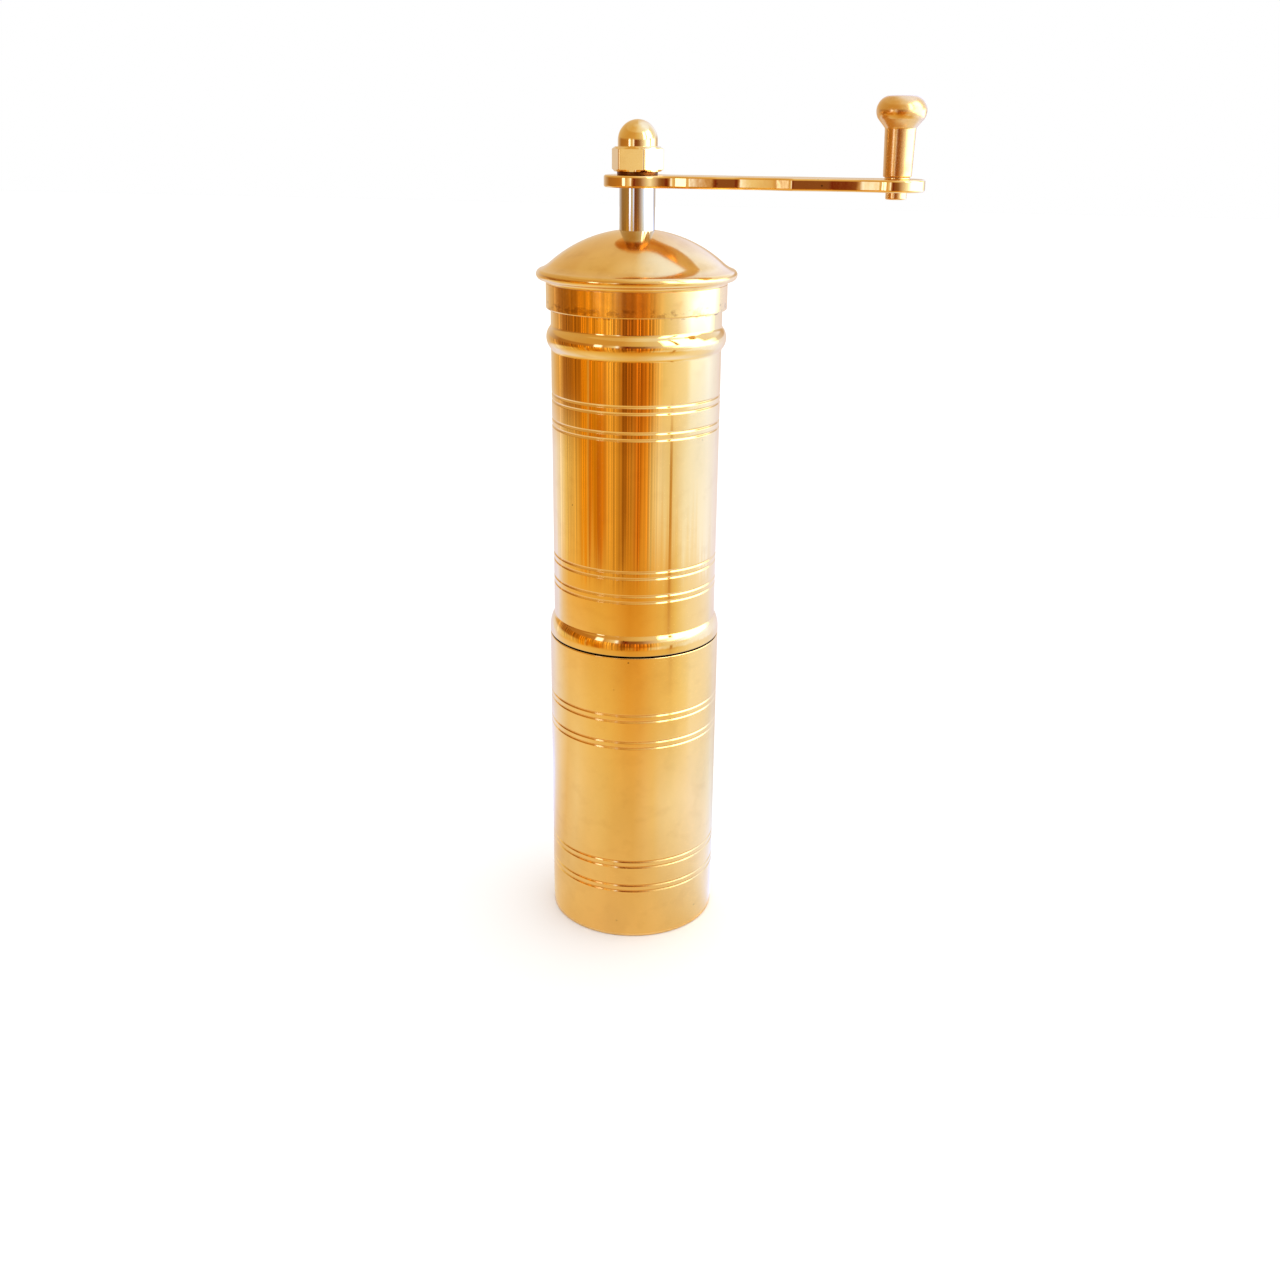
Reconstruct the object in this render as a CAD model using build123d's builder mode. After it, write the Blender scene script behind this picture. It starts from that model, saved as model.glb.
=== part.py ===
"""A hand-cranked brass pepper mill, drawn in millimetres.

The mill stands on z = 0 with its axis along +Z, and its crank arm lies along +X.
From the bottom up it is a receiver cup for the ground pepper, a barrel that holds the
peppercorns and carries the burrs on two bridges, a domed lid, and a crank on a steel
sleeve. Every separate piece is one solid, or one group of equal fasteners.
"""

import os
from math import sqrt

from build123d import *

# Fits, as radial clearances or axial gaps
RUNNING = 0.05            # a turning shaft in its bush
SLIP = 0.08               # the barrel's spigot in the receiver's mouth
LID_SLIP = 0.10           # the lid's skirt on the barrel's neck
SEAT_GAP = 0.30           # the shadow line between barrel and receiver
REST_GAP = 0.10           # the lid's ledge over the barrel's top edge
THRUST_GAP = 0.03         # the ball in its cup and under the shaft

# Tubes
TUBE_RADIUS = 19.0        # outside of the barrel tube
TUBE_WALL = 1.0
CUP_WALL = 0.92           # the receiver's own wall
CUP_HEIGHT = 73.0
BASE_THICKNESS = 1.2
CUP_EDGE = 0.6            # rounding at the receiver's foot
MOUTH_EDGE = 0.15         # broken edges of the receiver's mouth
SPIGOT_DEPTH = 18.0       # how far the barrel reaches into the receiver
BARREL_RISE = 80.9        # barrel tube above the receiver's mouth

# Fine turned lines, in pairs
LINE_PITCH = 1.5          # between the two lines of a pair
LINE_CUTTER = 0.30        # radius of the round-nosed tool
LINE_DEPTH = 0.18
CUP_LINES_FROM_BASE = (13.4, 19.9)
CUP_LINES_FROM_MOUTH = (15.0, 21.7)
BARREL_LINES_FROM_SEAT = (13.7, 19.3)
BARREL_LINES_FROM_BEAD = (13.05, 18.75)

# Rolled bead near the barrel's top, and the seat ring at its foot
BEAD_BELOW_TOP = 11.55
BEAD_PROUD = 1.03
BEAD_CREST = 3.4
BEAD_ROOT = 1.3
SEAT_HEIGHT = 5.5
SEAT_LAND = 1.5           # straight part of the seat ring
SEAT_SHOULDER = 3.1       # height where its round side turns into a cove
SEAT_SHOULDER_IN = 0.28
SEAT_LIP = 0.12

# Lid
SKIRT_DROP = 5.4
SKIRT_WALL = 0.9
SKIRT_EDGE = 0.3
RIM_RADIUS = 1.1          # the rounded rim's section
RIM_OVERHANG = 2.1        # rim beyond the skirt
RIM_RISE = 1.95           # rim's centre above the ledge
DOME_RADIUS = 29.3
CROWN_RISE = 11.4         # crown of the dome above the ledge
FLARE_RADIUS = 7.0        # cove between rim and dome
LID_WALL = 0.9
LEDGE_WIDTH = 0.8         # the lid's ledge over the barrel's top edge

# Bridges, bush and spring
BRIDGE_WIDTH = 8.0
BRIDGE_EYE = 2.1          # metal round the bush
UPPER_BRIDGE_THICKNESS = 2.5
BUSH_RADIUS = 4.5
BUSH_FLANGE_RADIUS = 5.8
BUSH_FLANGE = 1.5
BUSH_STAND = 0.3          # bush above the bridge
SPRING_WIRE = 0.5         # wire radius
SPRING_MEAN = 4.3         # coil's mean radius
SPRING_LENGTH = 11.9
SPRING_PITCH = 2.15
SPRING_END_GAP = 0.02
COLLAR_RADIUS = 5.4
COLLAR_THICKNESS = 1.0
CLIP_RADIUS = 4.4
CLIP_THICKNESS = 0.8
CLIP_GROOVE = 0.4         # depth of the clip's groove in the shaft
CLIP_MOUTH = 4.0          # width of the clip's open side

# Burrs
RING_ABOVE_SPIGOT = 6.0   # burr ring's lower face above the spigot's end
RING_HEIGHT = 15.0
GRIND_HEIGHT = 5.0        # steep grinding zone
GRIND_RADIUS = 12.9       # ring's bore at its lower face
THROAT_RADIUS = 9.9
THROAT_HEIGHT = 4.0
FUNNEL_RADIUS = 16.5
GRIND_GAP = 0.75          # between the burrs, measured level
RING_TEETH = 24
RING_TOOTH_DEPTH = 0.45
BURR_BELOW_RING = 0.5
BURR_TOP_RADIUS = 4.6
BURR_TOP_BELOW_RING_TOP = 1.0
BURR_FINE_TEETH = 24
BURR_FINE_DEPTH = 0.5
BURR_FLUTES = 6
BURR_FLUTE_RADIUS = 1.3
BURR_PIN_RADIUS = 1.0
BURR_PIN_BELOW_TOP = 3.0
BURR_PIN_LENGTH = 10.0

# Lower bridge, adjusting screw and thrust ball
LOWER_BRIDGE_WIDTH = 9.0
LOWER_BRIDGE_THICKNESS = 3.0
BRIDGE_PAD = 2.5          # raised ends that carry the burr ring
BRIDGE_PAD_START = 13.0
BRIDGE_END_GAP = 0.1
BOSS_RADIUS = 5.0
BOSS_DROP = 3.0
SCREW_PLACE = 15.5        # bridge screws from the axis
SCREW_RADIUS = 1.25
SCREW_HEAD_RADIUS = 2.25
SCREW_HEAD = 1.6
SCREW_REACH = 4.5         # thread in the burr ring
SCREW_SLOT = 0.6
SCREW_SLOT_DEPTH = 0.7
HOLE_CLEARANCE = 0.1
BALL_RADIUS = 2.0
ADJUSTER_RADIUS = 3.0
ADJUSTER_LENGTH = 14.2
ADJUSTER_CUP_RADIUS = 1.8
ADJUSTER_SLOT = 1.0
ADJUSTER_SLOT_DEPTH = 1.5
WHEEL_RADIUS = 7.0
WHEEL_HEIGHT = 4.0
WHEEL_ABOVE_SCREW_END = 1.0
WHEEL_FLUTES = 24
WHEEL_FLUTE_RADIUS = 0.45
LOCK_NUT_FLATS = 10.0
LOCK_NUT_HEIGHT = 3.0

# Shaft, sleeve, crank and cap nut
SHAFT_RADIUS = 3.0
SHAFT_BELOW_BURR = 0.2
SHAFT_FLATS = 4.6         # across the two flats that drive the arm
SLEEVE_RADIUS = 3.88
SLEEVE_ABOVE_BUSH = 1.0
ARM_ABOVE_CROWN = 8.6
ARM_THICKNESS = 2.5
ARM_EDGE = 0.45
HUB_RADIUS = 7.25
CRANK_RADIUS = 55.0
ARM_END_RADIUS = 5.75
ARM_ROOT_HALF = 5.6       # half width of the bar carried back to the shaft's axis
NECK_FROM_KNOB = 9.0      # the hollow beside the round end, back from the knob's axis
SWELL_FROM_NECK = 12.0    # the widest point between the two hollows
WAIST_FROM_SWELL = 12.0   # the hollow beside the hub
ARM_WAIST_HALF = 3.9
ARM_SWELL_HALF = 5.2
ARM_NECK_HALF = 4.0
ARM_TIP_HALF = 4.9        # half width of the bar at the knob's axis
SWELL_ROUND = 4.0
HUB_BLEND = 7.0
END_BLEND = 4.0
WASHER_RADIUS = 4.4
WASHER_THICKNESS = 0.7
NUT_FLATS = 10.0
NUT_HEIGHT = 5.0
NUT_CHAMFER = 0.55        # height lost at each corner
NUT_DOME_RADIUS = 4.25
NUT_DOME_BASE = 1.25
THREAD_REACH = 5.6        # shaft end above the nut's lower face
THREAD_ROOM = 0.8

# Knob and its pin
PIN_RADIUS = 1.6
PIN_SEAT_RADIUS = 1.9     # pin's shank in the arm
PIN_FOOT_RADIUS = 2.15
PIN_FOOT = 1.5
PIN_FOOT_EDGE = 0.25
PIN_HEAD_RADIUS = 2.1
PIN_HEAD = 0.9
KNOB_WASHER_RADIUS = 2.6
KNOB_WASHER = 0.35
STEM_FOOT_RADIUS = 2.9
STEM_TOP_RADIUS = 3.15
STEM_HEIGHT = 9.1
FLARE_HEIGHT = 1.92
FLARE_END_RADIUS = 4.5
HEAD_RADIUS = 5.06
HEAD_WIDEST = 12.7        # widest place above the knob's foot
HEAD_HEIGHT = 15.6
HEAD_TOP_RADIUS = 3.06
KNOB_WELL_RADIUS = 2.35
KNOB_WELL_FLOOR = 11.2
KNOB_CAP = 1.8

# Places that follow from the sizes
cup_bore = TUBE_RADIUS + SLIP
cup_radius = cup_bore + CUP_WALL
tube_bore = TUBE_RADIUS - TUBE_WALL
spigot_end = CUP_HEIGHT - SPIGOT_DEPTH
seat_bottom = CUP_HEIGHT + SEAT_GAP
barrel_top = CUP_HEIGHT + BARREL_RISE
bead_height = barrel_top - BEAD_BELOW_TOP

ledge = barrel_top + REST_GAP
skirt_bore = TUBE_RADIUS + LID_SLIP
skirt_radius = skirt_bore + SKIRT_WALL
dome_centre = ledge + CROWN_RISE - DOME_RADIUS
crown = ledge + CROWN_RISE

arm_bottom = crown + ARM_ABOVE_CROWN
arm_top = arm_bottom + ARM_THICKNESS
nut_bottom = arm_top + WASHER_THICKNESS
nut_top = nut_bottom + NUT_HEIGHT
shaft_top = nut_bottom + THREAD_REACH

upper_bridge_bottom = barrel_top - UPPER_BRIDGE_THICKNESS
bush_bottom = upper_bridge_bottom - BUSH_FLANGE
bush_top = barrel_top + BUSH_STAND
collar_top = bush_bottom - SPRING_LENGTH
clip_top = collar_top - COLLAR_THICKNESS
clip_bottom = clip_top - CLIP_THICKNESS

ring_bottom = spigot_end + RING_ABOVE_SPIGOT
ring_top = ring_bottom + RING_HEIGHT
grind_top = ring_bottom + GRIND_HEIGHT
throat_top = grind_top + THROAT_HEIGHT
burr_bottom = ring_bottom - BURR_BELOW_RING
burr_top = ring_top - BURR_TOP_BELOW_RING_TOP
burr_pin_height = burr_top - BURR_PIN_BELOW_TOP
shaft_bottom = burr_bottom - SHAFT_BELOW_BURR

lower_bridge_top = ring_bottom - BRIDGE_PAD
lower_bridge_bottom = lower_bridge_top - LOWER_BRIDGE_THICKNESS
boss_bottom = lower_bridge_bottom - BOSS_DROP
ball_centre = shaft_bottom - THRUST_GAP - BALL_RADIUS
cup_apex = ball_centre - (BALL_RADIUS + THRUST_GAP) * sqrt(2)
adjuster_top = cup_apex + ADJUSTER_CUP_RADIUS
adjuster_bottom = adjuster_top - ADJUSTER_LENGTH
wheel_bottom = adjuster_bottom + WHEEL_ABOVE_SCREW_END
screw_end = ring_bottom + SCREW_REACH

knob_bottom = arm_top + KNOB_WASHER + RUNNING
knob_top = knob_bottom + HEAD_HEIGHT
well_floor = knob_bottom + KNOB_WELL_FLOOR
pin_head_bottom = well_floor + RUNNING


def pairs(centres):
    """Heights of both turned lines of each pair."""
    return [(0, 0, mid + side * LINE_PITCH / 2) for mid in centres for side in (-1, 1)]


def turn_lines(heights, surface):
    """Cut round-bottomed lines into an outside surface, in the open part."""
    with Locations(*heights):
        Torus(surface + LINE_CUTTER - LINE_DEPTH, LINE_CUTTER, mode=Mode.SUBTRACT)


def circles_meet(centre_a, reach_a, centre_b, reach_b):
    """The upper meeting point of two circles in a section's plane."""
    span = centre_b - centre_a
    along = (reach_a**2 - reach_b**2 + span.length**2) / (2 * span.length)
    aside = sqrt(reach_a**2 - along**2)
    unit = span.normalized()
    return centre_a + unit * along + Vector(unit.Y, -unit.X) * aside


os.makedirs("parts", exist_ok=True)

# The receiver: a drawn tube with a disc let into its foot
with BuildPart() as receiver_tube:
    with BuildSketch():
        Circle(cup_radius)
        Circle(cup_bore, mode=Mode.SUBTRACT)
    extrude(amount=CUP_HEIGHT)
    outer_edges = receiver_tube.edges().filter_by(GeomType.CIRCLE).sort_by(Axis.Z)
    fillet(outer_edges[:2].sort_by(SortBy.RADIUS)[-1], radius=CUP_EDGE)
    fillet(receiver_tube.edges().group_by(Axis.Z)[-1], radius=MOUTH_EDGE)
    from_mouth = [CUP_HEIGHT - drop for drop in CUP_LINES_FROM_MOUTH]
    turn_lines(pairs([*CUP_LINES_FROM_BASE, *from_mouth]), cup_radius)
receiver_tube.part.label = "receiver_tube"
export_step(receiver_tube.part, "parts/receiver_tube.step")

with BuildPart() as receiver_base:
    with BuildSketch():
        Circle(cup_bore)
    extrude(amount=BASE_THICKNESS)
receiver_base.part.label = "receiver_base"
export_step(receiver_base.part, "parts/receiver_base.step")

# The barrel: one tube from the spigot's end to the lid, with a rolled bead
bead_centre = Vector(TUBE_RADIUS + BEAD_PROUD - BEAD_CREST, bead_height)
root_out = TUBE_RADIUS + BEAD_ROOT - bead_centre.X
root_reach = sqrt((BEAD_CREST + BEAD_ROOT) ** 2 - root_out**2)
join = Vector(root_out, root_reach) * (BEAD_CREST / (BEAD_CREST + BEAD_ROOT))
with BuildPart() as barrel_tube:
    with BuildSketch(Plane.XZ):
        with BuildLine():
            Line((TUBE_RADIUS, spigot_end), (TUBE_RADIUS, bead_height - root_reach))
            low_join = (bead_centre.X + join.X, bead_height - join.Y)
            high_join = (bead_centre.X + join.X, bead_height + join.Y)
            TangentArc((TUBE_RADIUS, bead_height - root_reach), low_join, tangent=(0, 1))
            ThreePointArc(low_join, (TUBE_RADIUS + BEAD_PROUD, bead_height), high_join)
            TangentArc(
                (TUBE_RADIUS, bead_height + root_reach), high_join, tangent=(0, -1)
            )
            Polyline(
                (TUBE_RADIUS, bead_height + root_reach),
                (TUBE_RADIUS, barrel_top),
                (tube_bore, barrel_top),
                (tube_bore, spigot_end),
                (TUBE_RADIUS, spigot_end),
            )
        make_face()
    revolve(axis=Axis.Z)
    from_seat = [CUP_HEIGHT + rise for rise in BARREL_LINES_FROM_SEAT]
    from_bead = [bead_height - drop for drop in BARREL_LINES_FROM_BEAD]
    turn_lines(pairs(from_seat + from_bead), TUBE_RADIUS)
    # notches in the top edge that hold the upper bridge
    with BuildSketch(Plane.XY.offset(upper_bridge_bottom)):
        Rectangle(3 * TUBE_RADIUS, BRIDGE_WIDTH)
    extrude(amount=2 * UPPER_BRIDGE_THICKNESS, mode=Mode.SUBTRACT)
barrel_tube.part.label = "barrel_tube"
export_step(barrel_tube.part, "parts/barrel_tube.step")

with BuildPart() as seat_ring:
    with BuildSketch(Plane.XZ):
        with BuildLine():
            shoulder = (cup_radius - SEAT_SHOULDER_IN, seat_bottom + SEAT_SHOULDER)
            lip = (TUBE_RADIUS + SEAT_LIP, seat_bottom + SEAT_HEIGHT)
            Line((cup_radius, seat_bottom), (cup_radius, seat_bottom + SEAT_LAND))
            TangentArc((cup_radius, seat_bottom + SEAT_LAND), shoulder, tangent=(0, 1))
            TangentArc(lip, shoulder, tangent=(0, -1))
            Polyline(
                lip,
                (TUBE_RADIUS, seat_bottom + SEAT_HEIGHT),
                (TUBE_RADIUS, seat_bottom),
                (cup_radius, seat_bottom),
            )
        make_face()
    revolve(axis=Axis.Z)
seat_ring.part.label = "seat_ring"
export_step(seat_ring.part, "parts/seat_ring.step")

# The upper bridge lies in the notches, and its bush guides the shaft
with BuildPart() as upper_bridge:
    with BuildSketch(Plane.XY.offset(upper_bridge_bottom)):
        Circle(TUBE_RADIUS)
        Rectangle(3 * TUBE_RADIUS, BRIDGE_WIDTH, mode=Mode.INTERSECT)
        Circle(BUSH_RADIUS + BRIDGE_EYE)
        Circle(BUSH_RADIUS, mode=Mode.SUBTRACT)
    extrude(amount=UPPER_BRIDGE_THICKNESS)
upper_bridge.part.label = "upper_bridge"
export_step(upper_bridge.part, "parts/upper_bridge.step")

with BuildPart() as upper_bush:
    with BuildSketch(Plane.XY.offset(bush_bottom)):
        Circle(BUSH_FLANGE_RADIUS)
    extrude(amount=BUSH_FLANGE)
    with BuildSketch(Plane.XY.offset(bush_bottom)):
        Circle(BUSH_RADIUS)
    extrude(amount=bush_top - bush_bottom)
    with BuildSketch(Plane.XY.offset(bush_bottom)):
        Circle(SHAFT_RADIUS + RUNNING)
    extrude(amount=bush_top - bush_bottom, mode=Mode.SUBTRACT)
upper_bush.part.label = "upper_bush"
export_step(upper_bush.part, "parts/upper_bush.step")

# The spring presses the shaft down on its ball
with BuildPart() as burr_spring:
    wire_low = collar_top + SPRING_WIRE + SPRING_END_GAP
    wire_rise = SPRING_LENGTH - 2 * (SPRING_WIRE + SPRING_END_GAP)
    with BuildLine():
        coil = Helix(SPRING_PITCH, wire_rise, SPRING_MEAN, center=(0, 0, wire_low))
    with BuildSketch(Plane(origin=coil @ 0, z_dir=coil % 0)):
        Circle(SPRING_WIRE)
    sweep(path=coil, is_frenet=True)
burr_spring.part.label = "burr_spring"
export_step(burr_spring.part, "parts/burr_spring.step")

# The burr ring: a funnel, a throat and a steep toothed cone that opens downwards
with BuildPart() as burr_ring:
    with BuildSketch(Plane.XZ):
        with BuildLine():
            Polyline(
                (GRIND_RADIUS, ring_bottom),
                (tube_bore, ring_bottom),
                (tube_bore, ring_top),
                (FUNNEL_RADIUS, ring_top),
                (THROAT_RADIUS, throat_top),
                (THROAT_RADIUS, grind_top),
                close=True,
            )
        make_face()
    revolve(axis=Axis.Z)
    # one slanted groove, cut all round
    grind_run = GRIND_RADIUS - THROAT_RADIUS
    slope = Vector(grind_run, 0, -GRIND_HEIGHT).normalized()
    groove_start = Vector(THROAT_RADIUS, 0, grind_top) - slope * RING_TOOTH_DEPTH
    with BuildSketch(Plane(origin=groove_start, x_dir=(0, 1, 0), z_dir=slope)):
        Rectangle(2 * RING_TOOTH_DEPTH, 2 * RING_TOOTH_DEPTH, rotation=45)
    groove_length = sqrt(grind_run**2 + GRIND_HEIGHT**2) + 2 * RING_TOOTH_DEPTH
    cutter = extrude(amount=groove_length, mode=Mode.PRIVATE)
    with PolarLocations(0, RING_TEETH):
        add(cutter, mode=Mode.SUBTRACT)
    with BuildSketch(Plane.XY.offset(ring_bottom)):
        with Locations((SCREW_PLACE, 0), (-SCREW_PLACE, 0)):
            Circle(SCREW_RADIUS)
    extrude(amount=SCREW_REACH + HOLE_CLEARANCE, mode=Mode.SUBTRACT)
burr_ring.part.label = "burr_ring"
export_step(burr_ring.part, "parts/burr_ring.step")

# The lower bridge hangs from the burr ring and is tapped for the adjusting screw
with BuildPart() as lower_bridge:
    with BuildSketch(Plane.XY.offset(lower_bridge_bottom)):
        Circle(tube_bore - BRIDGE_END_GAP)
        Rectangle(3 * TUBE_RADIUS, LOWER_BRIDGE_WIDTH, mode=Mode.INTERSECT)
    extrude(amount=LOWER_BRIDGE_THICKNESS + BRIDGE_PAD)
    with BuildSketch(Plane.XY.offset(lower_bridge_top)):
        Rectangle(2 * BRIDGE_PAD_START, 2 * LOWER_BRIDGE_WIDTH)
    extrude(amount=BRIDGE_PAD, mode=Mode.SUBTRACT)
    with BuildSketch(Plane.XY.offset(boss_bottom)):
        Circle(BOSS_RADIUS)
    extrude(amount=lower_bridge_top - boss_bottom)
    with BuildSketch(Plane.XY.offset(boss_bottom)):
        Circle(ADJUSTER_RADIUS + RUNNING)
        with Locations((SCREW_PLACE, 0), (-SCREW_PLACE, 0)):
            Circle(SCREW_RADIUS + HOLE_CLEARANCE)
    extrude(amount=ring_bottom - boss_bottom, mode=Mode.SUBTRACT)
lower_bridge.part.label = "lower_bridge"
export_step(lower_bridge.part, "parts/lower_bridge.step")

with BuildPart() as bridge_screws:
    with BuildSketch(Plane.XY.offset(lower_bridge_bottom - SCREW_HEAD)):
        with Locations((SCREW_PLACE, 0), (-SCREW_PLACE, 0)):
            Circle(SCREW_HEAD_RADIUS)
    extrude(amount=SCREW_HEAD)
    with BuildSketch(Plane.XY.offset(lower_bridge_bottom - SCREW_HEAD)):
        with Locations((SCREW_PLACE, 0), (-SCREW_PLACE, 0)):
            Circle(SCREW_RADIUS)
    extrude(amount=screw_end - lower_bridge_bottom + SCREW_HEAD)
    with BuildSketch(Plane.XY.offset(lower_bridge_bottom - SCREW_HEAD)):
        with Locations((SCREW_PLACE, 0), (-SCREW_PLACE, 0)):
            Rectangle(SCREW_SLOT, 3 * SCREW_HEAD_RADIUS)
    extrude(amount=SCREW_SLOT_DEPTH, mode=Mode.SUBTRACT)
bridge_screws.part.label = "bridge_screws"
export_step(bridge_screws.part, "parts/bridge_screws.step")

with BuildPart() as lock_nut:
    with BuildSketch(Plane.XY.offset(boss_bottom - LOCK_NUT_HEIGHT)):
        RegularPolygon(LOCK_NUT_FLATS / 2, 6, major_radius=False)
        Circle(ADJUSTER_RADIUS + RUNNING, mode=Mode.SUBTRACT)
    extrude(amount=LOCK_NUT_HEIGHT)
lock_nut.part.label = "lock_nut"
export_step(lock_nut.part, "parts/lock_nut.step")

# The adjusting screw carries the thrust ball in a coned end
with BuildPart() as adjusting_screw:
    with BuildSketch(Plane.XZ):
        with BuildLine():
            Polyline(
                (0, cup_apex),
                (ADJUSTER_CUP_RADIUS, adjuster_top),
                (ADJUSTER_RADIUS, adjuster_top),
                (ADJUSTER_RADIUS, adjuster_bottom),
                (0, adjuster_bottom),
                close=True,
            )
        make_face()
    revolve(axis=Axis.Z)
    with BuildSketch(Plane.XY.offset(adjuster_bottom)):
        Rectangle(3 * ADJUSTER_RADIUS, ADJUSTER_SLOT)
    extrude(amount=ADJUSTER_SLOT_DEPTH, mode=Mode.SUBTRACT)
adjusting_screw.part.label = "adjusting_screw"
export_step(adjusting_screw.part, "parts/adjusting_screw.step")

with BuildPart() as adjusting_wheel:
    with BuildSketch(Plane.XY.offset(wheel_bottom)):
        Circle(WHEEL_RADIUS)
        Circle(ADJUSTER_RADIUS, mode=Mode.SUBTRACT)
        with PolarLocations(WHEEL_RADIUS, WHEEL_FLUTES):
            Circle(WHEEL_FLUTE_RADIUS, mode=Mode.SUBTRACT)
    extrude(amount=WHEEL_HEIGHT)
adjusting_wheel.part.label = "adjusting_wheel"
export_step(adjusting_wheel.part, "parts/adjusting_wheel.step")

with BuildPart() as thrust_ball:
    with Locations((0, 0, ball_centre)):
        Sphere(BALL_RADIUS)
thrust_ball.part.label = "thrust_ball"
export_step(thrust_ball.part, "parts/thrust_ball.step")

# The lid: a spun dome with a rounded rim, and a skirt soldered under it
rim_centre = Vector(skirt_radius + RIM_OVERHANG - RIM_RADIUS, ledge + RIM_RISE)
dome_middle = Vector(0, dome_centre)
flare_centre = circles_meet(
    rim_centre, RIM_RADIUS + FLARE_RADIUS, dome_middle, DOME_RADIUS + FLARE_RADIUS
)
rim_join = rim_centre + (flare_centre - rim_centre).normalized() * RIM_RADIUS
dome_join = dome_middle + (flare_centre - dome_middle).normalized() * DOME_RADIUS
lid_hole = SLEEVE_RADIUS + LID_SLIP
inner_radius = DOME_RADIUS - LID_WALL
ledge_radius = TUBE_RADIUS - LEDGE_WIDTH
with BuildPart() as lid_dome:
    with BuildSketch(Plane.XZ):
        with BuildLine():
            rim_foot = (rim_centre.X, rim_centre.Y - RIM_RADIUS)
            TangentArc((skirt_radius, ledge), rim_foot, tangent=(0, 1))
            ThreePointArc(rim_foot, (rim_centre.X + RIM_RADIUS, rim_centre.Y), rim_join)
            flare_unit = (rim_centre - flare_centre).normalized()
            flare_unit += (dome_middle - flare_centre).normalized()
            flare_middle = flare_centre + flare_unit.normalized() * FLARE_RADIUS
            ThreePointArc(rim_join, flare_middle, dome_join)
            hole_top = dome_centre + sqrt(DOME_RADIUS**2 - lid_hole**2)
            RadiusArc(dome_join, (lid_hole, hole_top), -DOME_RADIUS)
            hole_foot = dome_centre + sqrt(inner_radius**2 - lid_hole**2)
            Line((lid_hole, hole_top), (lid_hole, hole_foot))
            ledge_roof = dome_centre + sqrt(inner_radius**2 - ledge_radius**2)
            RadiusArc((lid_hole, hole_foot), (ledge_radius, ledge_roof), inner_radius)
            Polyline((ledge_radius, ledge_roof), (ledge_radius, ledge), (skirt_radius, ledge))
        make_face()
    revolve(axis=Axis.Z)
lid_dome.part.label = "lid_dome"
export_step(lid_dome.part, "parts/lid_dome.step")

with BuildPart() as lid_skirt:
    with BuildSketch(Plane.XY.offset(ledge - SKIRT_DROP)):
        Circle(skirt_radius)
        Circle(skirt_bore, mode=Mode.SUBTRACT)
    extrude(amount=SKIRT_DROP)
    foot_edges = lid_skirt.edges().group_by(Axis.Z)[0]
    fillet(foot_edges.sort_by(SortBy.RADIUS)[-1], radius=SKIRT_EDGE)
lid_skirt.part.label = "lid_skirt"
export_step(lid_skirt.part, "parts/lid_skirt.step")

# The rotor: shaft, inner burr, spring collar, sleeve, crank arm and cap nut
with BuildPart() as drive_shaft:
    with BuildSketch(Plane.XY.offset(shaft_bottom)):
        Circle(SHAFT_RADIUS)
    extrude(amount=shaft_top - shaft_bottom)
    with BuildSketch(Plane.XY.offset(arm_bottom)):
        Circle(2 * SHAFT_RADIUS)
        Rectangle(5 * SHAFT_RADIUS, SHAFT_FLATS, mode=Mode.SUBTRACT)
    extrude(amount=shaft_top - arm_bottom, mode=Mode.SUBTRACT)
    with BuildSketch(Plane.XY.offset(clip_bottom)):
        Circle(2 * SHAFT_RADIUS)
        Circle(SHAFT_RADIUS - CLIP_GROOVE, mode=Mode.SUBTRACT)
    extrude(amount=CLIP_THICKNESS, mode=Mode.SUBTRACT)
    with BuildSketch(Plane.XZ.offset(-BURR_PIN_LENGTH)):
        with Locations((0, burr_pin_height)):
            Circle(BURR_PIN_RADIUS)
    extrude(amount=2 * BURR_PIN_LENGTH, mode=Mode.SUBTRACT)
drive_shaft.part.label = "drive_shaft"
export_step(drive_shaft.part, "parts/drive_shaft.step")

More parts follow.
